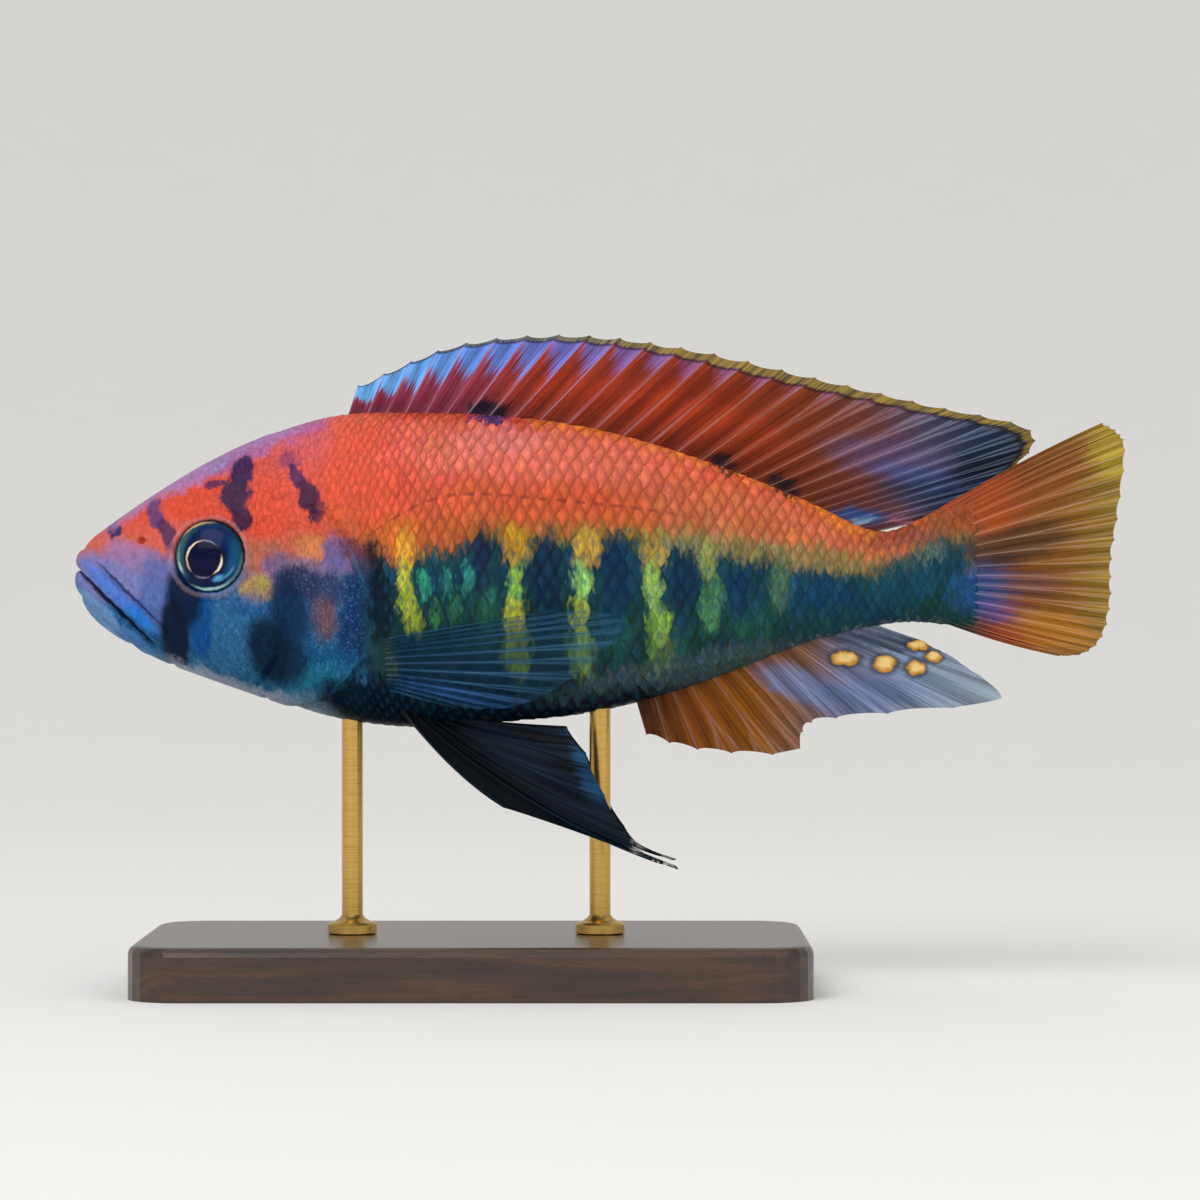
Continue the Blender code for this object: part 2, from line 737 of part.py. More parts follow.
def stand_base(group):
    """Flat wooden base with rounded corners and a softened top edge."""
    bpy.ops.mesh.primitive_cube_add(size=1)
    base = bpy.context.object
    base.name = "stand_base"
    base.data.transform(Matrix.Diagonal((BASE_LENGTH * MM, BASE_WIDTH * MM, BASE_HEIGHT * MM, 1)))
    base.data.transform(Matrix.Translation((BASE_CENTRE_X * MM, 0, BASE_HEIGHT * MM / 2)))
    mesh = bmesh.new()
    mesh.from_mesh(base.data)
    upright = [edge for edge in mesh.edges if abs(edge.verts[0].co.z - edge.verts[1].co.z) > MM]
    bmesh.ops.bevel(mesh, geom=upright, offset=BASE_CORNER * MM, segments=6, profile=0.5, affect="EDGES")
    top = [edge for edge in mesh.edges if min(v.co.z for v in edge.verts) > (BASE_HEIGHT - 0.01) * MM]
    bmesh.ops.bevel(mesh, geom=top, offset=BASE_BEVEL * MM, segments=3, profile=0.5, affect="EDGES")
    mesh.to_mesh(base.data)
    mesh.free()
    keep(base, group, "stand_base")


def stand_rod(name, s):
    """Turned brass rod with a collar at its foot, standing on the base."""
    foot = BASE_HEIGHT + GAP
    top = float(profile(s)[1]) + AXIS_HEIGHT + ROD_OVERRUN
    outline = (
        (0, top),
        (ROD_RADIUS, top),
        (ROD_RADIUS, foot + COLLAR_HEIGHT),
        (COLLAR_RADIUS - COLLAR_EDGE, foot + COLLAR_HEIGHT),
        (COLLAR_RADIUS, foot + COLLAR_HEIGHT - COLLAR_EDGE),
        (COLLAR_RADIUS, foot),
        (0, foot),
    )
    mesh = bpy.data.meshes.new(name)
    edges = [(k, k + 1) for k in range(len(outline) - 1)]
    mesh.from_pydata([(radius * MM, 0, height * MM) for radius, height in outline], edges, [])
    rod = add_item(name, mesh)
    screw = rod.modifiers.new("turn", "SCREW")
    screw.steps = ROD_STEPS
    screw.render_steps = ROD_STEPS
    screw.use_merge_vertices = True
    screw.merge_threshold = MERGE * MM
    apply_modifiers(rod)
    rod.data.transform(Matrix.Translation(((s - MID_LENGTH) * MM, 0, 0)))
    return rod


def build():
    """The whole model."""
    clear_scene()
    group = collect(MODEL)
    flesh(group)
    grown = body("grown", GAP)
    paired_pieces(group, grown)
    for make in (dorsal_fin, caudal_fin, anal_fin):
        piece = make()
        keep(piece, group, piece.name)
    stand_base(group)
    for name, s in ROD_PLACES:
        rod = stand_rod(name, s)
        cut(rod, grown)
        keep(rod, group, "stand_rod")
    remove([grown])


build()
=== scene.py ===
import math

import bpy
import numpy as np
from mathutils import Matrix, Vector


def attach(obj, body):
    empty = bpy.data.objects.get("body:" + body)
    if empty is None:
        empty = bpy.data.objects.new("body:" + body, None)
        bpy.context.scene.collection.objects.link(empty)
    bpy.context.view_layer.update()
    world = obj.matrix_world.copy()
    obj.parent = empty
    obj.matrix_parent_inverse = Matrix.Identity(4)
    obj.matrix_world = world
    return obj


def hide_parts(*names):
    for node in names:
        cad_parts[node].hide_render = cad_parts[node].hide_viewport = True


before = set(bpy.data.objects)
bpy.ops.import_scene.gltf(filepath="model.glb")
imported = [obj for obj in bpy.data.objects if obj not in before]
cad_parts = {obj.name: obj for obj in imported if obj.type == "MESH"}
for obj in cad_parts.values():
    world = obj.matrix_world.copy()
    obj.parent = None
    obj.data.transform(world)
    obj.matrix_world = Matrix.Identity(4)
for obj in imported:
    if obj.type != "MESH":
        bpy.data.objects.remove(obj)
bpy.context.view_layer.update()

# The camera: level with the middle of the picture, straight across the fish's left flank,
# half a metre off with a long lens, so that the fish keeps the photograph's flat side view.
CAMERA_PLACE = (0.0003, -0.51435, 0.04414)
LENS = 135

bpy.ops.object.select_all(action="DESELECT")
bpy.ops.object.camera_add(location=CAMERA_PLACE, rotation=(math.radians(90), 0, 0))
camera = bpy.context.object
camera.data.lens = LENS
bpy.context.scene.camera = camera

# The stage: a pale floor of painted board that curves up all round like a studio sweep.
# Matt paint takes soft shadows and gives no reflections.
FLOOR_RADIUS = 0.4
FLOOR_SIDES = 96
SWEEP_RADIUS = 1.7
SWEEP_STEPS = 30
FLOOR_PAINT = "F7F6F4"
PAINT_WAVE = 0.025


def tint(code):
    """An sRGB hex colour as linear red, green, blue and alpha."""
    parts = [int(code[k:k + 2], 16) / 255 for k in (0, 2, 4)]
    return (*(c / 12.92 if c <= 0.04045 else ((c + 0.055) / 1.055) ** 2.4 for c in parts), 1.0)


MAIN_SETTING = {
    "Math": "operation", "VectorMath": "operation", "MapRange": "interpolation_type", "Mix": "data_type",
}


def add(tree, kind, settings=None, sockets=(), out=0):
    """Add one shader node with its settings and links, and give back one of its outputs.

    A setting in one word is the node's main one, and sockets in a row are its first inputs.
    """
    node = tree.nodes.new("ShaderNode" + kind)
    if isinstance(settings, str):
        settings = {MAIN_SETTING[kind]: settings}
    for name, value in (settings or {}).items():
        if name == "stops":
            ramp = node.color_ramp.elements
            ramp.remove(ramp[-1])
            ramp[0].position, ramp[0].color = value[0][0], tint(value[0][1])
            for place, code in value[1:]:
                ramp.new(place).color = tint(code)
        elif name == "points":
            curve = node.mapping.curves[0].points
            curve[0].location, curve[-1].location = value[0], value[-1]
            for point in value[1:-1]:
                curve.new(*point)
            node.mapping.update()
        else:
            setattr(node, name, value)
    for key, value in sockets.items() if isinstance(sockets, dict) else enumerate(sockets):
        socket = node.inputs[key]
        if isinstance(value, bpy.types.NodeSocket):
            tree.links.new(value, socket)
        else:
            socket.default_value = tint(value) if isinstance(value, str) else value
    return node.outputs[out]


def new_material(name, values):
    """A node material, with the even values of its surface set on the shader itself."""
    material = bpy.data.materials.new(name)
    material.use_nodes = True
    shader = material.node_tree.nodes["Principled BSDF"]
    for key, value in values.items():
        shader.inputs[key].default_value = tint(value) if isinstance(value, str) else value
    return material, material.node_tree, shader.inputs


def put_on(piece, material):
    """Give a piece this one material."""
    piece.data.materials.clear()
    piece.data.materials.append(material)


bpy.ops.object.select_all(action="DESELECT")
bpy.ops.mesh.primitive_circle_add(vertices=FLOOR_SIDES, radius=FLOOR_RADIUS, fill_type="NGON")
floor = bpy.context.object
floor.name = "studio_floor"
bpy.ops.object.mode_set(mode="EDIT")
bpy.ops.mesh.select_all(action="SELECT")
bpy.ops.mesh.region_to_loop()
for step in range(SWEEP_STEPS):
    before, after = (math.pi / 2 * k / SWEEP_STEPS for k in (step, step + 1))
    reach = [FLOOR_RADIUS + SWEEP_RADIUS * math.sin(angle) for angle in (before, after)]
    rise = SWEEP_RADIUS * (math.cos(before) - math.cos(after))
    bpy.ops.mesh.extrude_edges_move(TRANSFORM_OT_translate={"value": (0, 0, rise)})
    wider = reach[1] / reach[0]
    bpy.ops.transform.resize(value=(wider, wider, 1), center_override=(0, 0, 0))
bpy.ops.object.mode_set(mode="OBJECT")
bpy.ops.object.shade_smooth()
paint, tree, surface = new_material("matt_floor_paint", {"Roughness": 0.9, "Specular IOR Level": 0.2})
place = add(tree, "TexCoord", out=3)
speck = add(tree, "TexNoise", None, {"Vector": place, "Scale": 1 / PAINT_WAVE, "Detail": 3.0})
shade = add(tree, "MapRange", None, {0: speck, 3: 0.985, 4: 1.0})
shading = {"data_type": "RGBA", "blend_type": "MULTIPLY"}
colour = add(tree, "Mix", shading, {0: 1.0, 6: FLOOR_PAINT, 7: shade}, out=2)
tree.links.new(colour, surface["Base Color"])
put_on(floor, paint)

# The light: a broad soft box high over the camera, a weaker one low on the right and a wide one
# overhead, with a pale room around them, as for a specimen photograph.
LIGHTS = (
    # name, place, size, watts
    ("key_light", (-0.35, -0.75, 0.75), 0.7, 5.0),
    ("fill_light", (0.65, -0.6, 0.35), 0.8, 1.3),
    ("top_light", (0.0, 0.0, 1.6), 1.4, 2.0),
)
LIGHT_TARGET = Vector((0, 0, 0.045))
ROOM_STRENGTH = 0.58

for name, spot, size, power in LIGHTS:
    turn = (LIGHT_TARGET - Vector(spot)).to_track_quat("-Z", "Y").to_euler()
    bpy.ops.object.light_add(type="AREA", location=spot, rotation=turn)
    light = bpy.context.object
    light.name = name
    light.data.size = size
    light.data.energy = power
room = bpy.data.worlds.new("pale_room")
room.use_nodes = True
room.node_tree.nodes["Background"].inputs["Color"].default_value = tint("FFFFFF")
room.node_tree.nodes["Background"].inputs["Strength"].default_value = ROOM_STRENGTH
bpy.context.scene.world = room
bpy.context.scene.view_settings.view_transform = "Standard"

# The skin: one seamless wet skin over head, jaws, gill covers, trunk and tail stalk. It is cast
# as a shell whose head has the lips, mouth, nostrils, eye rims, cheek fold and gill edges modelled in.
MM = 0.001
MID_LENGTH = 59.7
AXIS_HEIGHT = 47.0
SWING_START = 60.0
SWING_LENGTH = 60.0
TAIL_SWING = 7.0
BODY_STATIONS = (
    # millimetres along the fish, height of the back, height of the belly, half width
    (0.45, -0.2, -0.2, 0.0),
    (1.2, 3.2, -3.6, 2.4),
    (4.0, 5.7, -6.5, 3.8),
    (9.7, 9.6, -9.7, 5.3),
    (15.4, 13.0, -11.9, 6.5),
    (22.0, 16.0, -14.0, 7.5),
    (30.0, 18.3, -16.4, 8.3),
    (39.0, 18.6, -17.4, 8.4),
    (50.0, 18.1, -16.7, 7.8),
    (60.0, 16.6, -15.5, 6.8),
    (71.4, 13.3, -12.4, 5.2),
    (82.9, 8.8, -8.0, 3.6),
    (91.0, 5.1, -5.9, 2.6),
    (95.5, 6.0, -5.4, 2.1),
    (99.5, 8.2, -5.8, 1.6),
    (103.0, 9.0, -6.1, 0.05),
)
TABLE_STEPS = 40
UPPER_POWER = 1.85
LOWER_POWER = 2.15
SNOUT_REACH, SNOUT_SPACING = 14.0, 0.14
FACE_REACH, FACE_SPACING = 44.0, 0.27
TRUNK_SPACING = 1.0
QUARTER = 84
RING_SAMPLES = 400
LINE_SAMPLES = 60
COAT_DEPTH = 0.15
WELD_REACH = 1e-6
MOUTH_FRONT = (0.3, 0.9)
MOUTH_CORNER = (9.4, -7.9)
EYE_CENTRE = (16.1, 5.2, 2.0)
EYE_SIZE = (4.5, 2.3, 4.5)
EYE_YAW = math.radians(10)
EYE_ROLL = math.radians(6)
EYE_OPENING = 4.05
NOSTRIL = (8.0, 3.9)
# lines on the side of the head, as millimetres along the fish and height
COVER_FRONT = ((26.2, 4.9), (24.9, 0.4), (24.5, -4.6), (23.5, -9.2), (21.3, -12.4))
COVER_REAR = ((29.3, 6.6), (32.3, 2.7), (34.5, -3.2), (33.8, -8.8), (29.6, -13.6))
COVER_TOP = (26.5, 7.2)
THROAT_NOTCH = 22.5
NAPE_START = 21.0
# heights and depths of the head's forms
UPPER_LIP, LOWER_LIP, MOUTH_DEPTH = 0.5, 0.42, 0.6
LIP_MIDDLE, LIP_HALF, LIP_ROUND = 0.95, 0.98, 0.7
LIP_GROOVES = (
    # distance from the mouth line, depth, width, and where each begins and ends by the mouth's length
    (2.0, 0.34, 0.2, (0.05, 0.25), (0.95, 1.15)),
    (-2.02, 0.26, 0.22, (0.12, 0.3), (0.85, 1.0)),
)
CORNER_FOLD, JAW_FOLD, THROAT_FOLD = 0.22, 0.14, 0.3
NOSTRIL_RIM, NOSTRIL_REACH, NOSTRIL_DEPTH = 0.16, 0.62, 0.75
EYE_RIM, EYE_GROOVE, SOCKET_DEPTH = 0.26, 0.12, 2.4
CHEEK_FOLD, CHEEK_GROOVE = 0.22, 0.24
JAW_SWELL, BROW_SWELL = 0.25, 0.18
COVER_LIFT, COVER_GAP = 0.42, 0.25


def catmull(rows, at, before=None):
    """Smooth curve through rows of numbers, read at places counted in rows."""
    rows = np.asarray(rows, float)
    if before is None:
        before = 2 * rows[0] - rows[1]
    padded = np.vstack((before, rows, 2 * rows[-1] - rows[-2]))
    span = np.clip(np.floor(at).astype(int), 0, len(rows) - 2)
    t = (at - span)[:, None]
    p0, p1, p2, p3 = (padded[span + k] for k in range(4))
    line = (p2 - p0) * t
    bend = (2 * p0 - 5 * p1 + 4 * p2 - p3) * t ** 2
    twist = (3 * (p1 - p2) + p3 - p0) * t ** 3
    return p1 + (line + bend + twist) / 2


def smooth(value, low, high):
    """0 below low, 1 above high, with a soft turn between them."""
    t = np.clip((value - low) / (high - low), 0, 1)
    return t * t * (3 - 2 * t)


def hump(value, width):
    """1 at nothing, falling off on both sides over a width."""
    return np.exp(-(value / width) ** 2)


def pillow(value, half):
    """1 at nothing, falling like the top of a ball to 0 at half."""
    return np.clip(1 - (value / half) ** 2, 0, 1)


def swing(s):
    """How far the body stands toward the near side at s."""
    return TAIL_SWING * (np.maximum(s - SWING_START, 0) / SWING_LENGTH) ** 2


def to_frame(points):
    """Rows of s, y, z in millimetres as metres in the frame."""
    return (np.asarray(points, float) + (-MID_LENGTH, 0, AXIS_HEIGHT)) * MM


def add_grid(name, rows, columns):
    """A primitive grid, and the row and column that each of its points stands in."""
    bpy.ops.object.select_all(action="DESELECT")
    bpy.ops.mesh.primitive_grid_add(x_subdivisions=rows - 1, y_subdivisions=columns - 1, size=2)
    piece = bpy.context.object
    piece.name = piece.data.name = name
    flat = np.empty(len(piece.data.vertices) * 3)
    piece.data.vertices.foreach_get("co", flat)
    share = (flat.reshape(-1, 3)[:, :2] + 1) / 2
    row, column = np.rint(share * (rows - 1, columns - 1)).astype(int).T
    return piece, row, column


def lay(piece, points):
    """Lay a piece's points where these rows of s, y, z say."""
    piece.data.vertices.foreach_set("co", to_frame(points).ravel())
    piece.data.update()


def face_outward():
    """Turn the active piece's faces outward, and leave edit mode."""
    bpy.ops.mesh.select_all(action="SELECT")
    bpy.ops.mesh.normals_make_consistent(inside=False)
    bpy.ops.object.mode_set(mode="OBJECT")


def close_shell(reach):
    """Weld the active piece's touching edges, fill its open ends and turn its faces outward."""
    bpy.ops.object.mode_set(mode="EDIT")
    bpy.ops.mesh.select_all(action="SELECT")
    bpy.ops.mesh.remove_doubles(threshold=reach)
    bpy.ops.mesh.select_all(action="DESELECT")
    bpy.ops.mesh.select_non_manifold()
    bpy.ops.mesh.fill()
    face_outward()
    bpy.ops.object.shade_smooth()


stations = np.array(BODY_STATIONS)
mirrored = 2 * stations[0] - stations[1]
mirrored[0] = stations[1][0]
spans = len(stations) - 1
TABLE = catmull(stations, np.linspace(0, spans, spans * TABLE_STEPS + 1), mirrored)


def profile(s):
    """Back, belly and half width of the body at s."""
    return [np.interp(s, TABLE[:, 0], TABLE[:, column]) for column in (1, 2, 3)]


def flank(s, z):
    """Half width of the body at s and z."""
    back, belly, width = profile(s)
    middle = (back + belly) / 2
    part = np.abs(z - middle) / ((back - belly) / 2)
    power = np.where(z >= middle, UPPER_POWER, LOWER_POWER)
    return width * np.clip(1 - part ** power, 0, 1) ** (1 / power)


def quarter_ring(s, up):
    """Points of equal spacing from the middle of the flank to the back or the belly, and their length."""
    back, belly, width = profile(s)
    power = 2 / (UPPER_POWER if up else LOWER_POWER)
    angle = np.linspace(0, math.pi / 2, RING_SAMPLES)
    y = width * np.cos(angle) ** power
    z = (back - belly) / 2 * np.sin(angle) ** power
    run = np.concatenate(([0], np.cumsum(np.hypot(np.diff(y), np.diff(z)))))
    even = np.linspace(0, run[-1], QUARTER + 1)
    z = (back + belly) / 2 + np.interp(even, run, z) * (1 if up else -1)
    return np.interp(even, run, y), z, run[-1]


steps = np.linalg.norm(np.diff(TABLE[:, :3], axis=0), axis=1)
outline_run = np.concatenate(([0], np.cumsum(steps)))
ring_run = np.concatenate((
    np.arange(0, SNOUT_REACH, SNOUT_SPACING),
    np.arange(SNOUT_REACH, FACE_REACH, FACE_SPACING),
    np.linspace(FACE_REACH, outline_run[-1], int((outline_run[-1] - FACE_REACH) / TRUNK_SPACING)),
))
RING_S = np.interp(ring_run, outline_run, TABLE[:, 0])
base = np.empty((len(RING_S), 2 * QUARTER + 1, 3))
UPPER_ARC, LOWER_ARC = np.empty(len(RING_S)), np.empty(len(RING_S))
for k, s in enumerate(RING_S):
    y_up, z_up, UPPER_ARC[k] = quarter_ring(s, True)
    y_low, z_low, LOWER_ARC[k] = quarter_ring(s, False)
    base[k, :, 0] = s
    base[k, :, 1] = np.concatenate((y_low[::-1], y_up[1:]))
    base[k, :, 2] = np.concatenate((z_low[::-1], z_up[1:]))
along, across = np.gradient(base, axis=0), np.gradient(base, axis=1)
normals = np.cross(across, along)
normals[0] = (-1, 0, 0)
normals[:, (0, -1), 1] = 0
normals /= np.maximum(np.linalg.norm(normals, axis=-1, keepdims=True), 1e-9)
if normals[len(RING_S) // 2, QUARTER, 1] < 0:
    normals = -normals
    normals[0] = (-1, 0, 0)


def ring_share(s, z):
    """Which column, from -1 at the belly to 1 at the back, stands at s and z."""
    back, belly, width = profile(s)
    row = np.interp(s, RING_S, np.arange(len(RING_S)))
    heights = base[int(round(float(row))), :, 2]
    return float(np.interp(z, heights, np.linspace(-1, 1, 2 * QUARTER + 1)))


gill_line = catmull((COVER_TOP, *COVER_REAR), np.linspace(0, len(COVER_REAR), LINE_SAMPLES))
gill_share = [ring_share(s, z) for s, z in gill_line][::-1]
gill_s = list(gill_line[::-1, 0])
cheek_line = catmull(COVER_FRONT, np.linspace(0, len(COVER_FRONT) - 1, LINE_SAMPLES))


def gill_edge(share):
    """Where the free rear edge of the gill cover stands, by column."""
    return np.interp(share, [-1.0, *gill_share], [THROAT_NOTCH, *gill_s])


def cheek_end(z):
    """Where the fold in front of the gill cover stands, by height."""
    return np.interp(z, cheek_line[::-1, 1], cheek_line[::-1, 0])


def coat_edge(share):
    """Where the trunk's scales begin, by column: behind the gill cover and on the nape."""
    nape = smooth(share, gill_share[-1], 1.0)
    return gill_edge(share) + (NAPE_START - COVER_TOP[0]) * nape


def eye_turn(side):
    """How the eye looks a little forward and up."""
    return Matrix.Rotation(side * EYE_YAW, 3, "Z") @ Matrix.Rotation(side * EYE_ROLL, 3, "X")


def relief(points, share):
    """How far the skin stands out from the plain body at each point of its right side."""
    s, y, z = np.moveaxis(points, -1, 0)
    out = np.zeros(s.shape)
    # mouth: a deep line with a rounded lip on each side and a groove above the upper one
    run = np.array(MOUTH_CORNER) - MOUTH_FRONT
    length = np.hypot(*run)
    unit = run / length
    t = ((s - MOUTH_FRONT[0]) * unit[0] + (z - MOUTH_FRONT[1]) * unit[1]) / length
    d = (z - MOUTH_FRONT[1]) * unit[0] - (s - MOUTH_FRONT[0]) * unit[1]
    ends = 1 - smooth(t, 0.93, 1.06)
    upper = UPPER_LIP * pillow(d - LIP_MIDDLE, LIP_HALF) ** LIP_ROUND
    lower = LOWER_LIP * pillow(d + LIP_MIDDLE, LIP_HALF) ** LIP_ROUND
    out += ends * (upper + lower * (1 - smooth(t, 0.75, 1.0) * 0.6))
    out -= MOUTH_DEPTH * hump(d, 0.2) * (1 - smooth(t, 0.95, 1.04))
    for off, depth, width, begin, end in LIP_GROOVES:
        out -= depth * hump(d - off, width) * smooth(t, *begin) * (1 - smooth(t, *end))
    out += 0.12 * pillow(d - 3.3, 1.3) * smooth(t, 0.3, 0.6) * (1 - smooth(t, 0.95, 1.2))
    # fold behind the corner of the mouth and along the lower jaw
    held = smooth(-z, 6.2, 7.6) * (1 - smooth(-z, 10.2, 11.6))
    out -= CORNER_FOLD * hump((s - 10.6) + 0.35 * (z + 8.5), 0.3) * held
    held = smooth(s, 12, 14) * (1 - smooth(s, 21, 24))
    out -= JAW_FOLD * hump((z + 12.0) + 0.33 * (s - 14), 0.28) * held
    # nostril
    reach = np.hypot(s - NOSTRIL[0], z - NOSTRIL[1])
    out += NOSTRIL_RIM * hump(reach - NOSTRIL_REACH, 0.2) - NOSTRIL_DEPTH * (1 - smooth(reach, 0.28, 0.5))
    # socket and rim of the eye
    local = (points - EYE_CENTRE) @ np.array(eye_turn(1))
    reach = np.hypot(local[..., 0], local[..., 2]) - EYE_OPENING
    near = np.where(y > 2, 1.0, 0.0)
    out += near * EYE_RIM * hump(reach - 0.38, 0.3)
    out -= near * EYE_GROOVE * hump(reach - 1.25, 0.3)
    out -= near * SOCKET_DEPTH * (1 - smooth(reach, -0.22, 0.12))
    # cheek fold in front of the gill cover
    gap = s - cheek_end(z)
    held = smooth(z, -13.2, -11.5) * (1 - smooth(z, 3.6, 5.4))
    out += held * (CHEEK_FOLD * hump(gap + 0.7, 0.7) - CHEEK_GROOVE * hump(gap - 0.25, 0.28))
    # swell of the jaw muscle and of the brow
    out += JAW_SWELL * hump(s - 18.5, 3.0) * hump(z + 6.5, 3.2)
    out += BROW_SWELL * hump(s - 15.0, 3.0) * hump(z - 8.0, 1.4) * near
    # gill cover, lifting toward a free edge with a shadow gap behind it
    inside = gill_edge(share) - s
    top = 1 - smooth(share, gill_share[-1] - 0.08, gill_share[-1] + 0.04)
    held = smooth(share, -1.02, -0.9) * top
    out += held * COVER_LIFT * smooth(-inside, -9, -0.5) * smooth(inside, -0.12, 0.2)
    out -= held * COVER_GAP * hump(inside + 0.3, 0.22)
    # folds of the throat where the gill membranes meet
    low = 1 - smooth(share, -0.92, -0.75)
    out -= THROAT_FOLD * hump(s - 22.5 + 7.0 * (share + 1), 0.3) * low * smooth(s, 15, 18)
    # under the scales the skin lies deeper
    out -= COAT_DEPTH * smooth(s - coat_edge(share), 0.2, 2.4) * (1 - smooth(s, 99, 103))
    return out


share_grid = np.broadcast_to(np.linspace(-1, 1, 2 * QUARTER + 1), base.shape[:2])
SKIN = base + normals * relief(base, share_grid)[..., None]
SKIN[:, (0, -1), 1] = 0
SKIN[..., 1] = np.maximum(SKIN[..., 1], 0)


def on_skin(s, share):
    """Points of the skin and its outward directions, on the right side, at s and column share."""
    row = np.clip(np.interp(s, RING_S, np.arange(len(RING_S))), 0, len(RING_S) - 1.001)
    column = np.clip((share + 1) * QUARTER, 0, 2 * QUARTER - 0.001)
    i, j = row.astype(int), column.astype(int)
    u, v = (row - i)[..., None], (column - j)[..., None]
    found = []
    for table in (SKIN, normals):
        near = table[i, j] * (1 - v) + table[i, j + 1] * v
        far = table[i + 1, j] * (1 - v) + table[i + 1, j + 1] * v
        found.append(near * (1 - u) + far * u)
    return found


columns = 4 * QUARTER + 1
skin, row, column = add_grid("skin", len(RING_S), columns)
side = np.where(column <= 2 * QUARTER, 1, -1)
points = SKIN[row, np.where(side > 0, column, 4 * QUARTER - column)].copy()
points[:, 1] = points[:, 1] * side - swing(points[:, 0])
lay(skin, points)
close_shell(WELD_REACH)

# Its colour: a haplochromine male's breeding dress. Red pigment lies over the back, violet and blue
# guanine over snout and cheeks, dark bars cross the head, and yellow-green bars cross the dark flank.
RED_BORDER = (
    # where the red of the back ends: millimetres along the fish, height
    (0, 4.0), (26, 3.4), (31, 5.0), (35, 3.6), (40, 3.0), (46, 4.3), (52, 4.2), (63, 4.5),
    (69, 4.0), (78, 2.6), (84, 1.3), (91, 0.9), (94.5, 1.8), (97.5, 4.4), (101, 4.2), (120, 4.0),
)
FLANK_STOPS = (
    # height over the red border, colour
    (-20, "06141F"), (-16, "0D2630"), (-13, "1A3536"), (-8, "143836"), (-4, "0E384C"), (-1.6, "173C44"),
    (-0.6, "4C5038"), (0.3, "946A34"), (1.5, "C26634"), (3.4, "CE5A34"), (6.5, "D4583A"), (10, "DA6650"),
    (14, "D66048"),
)
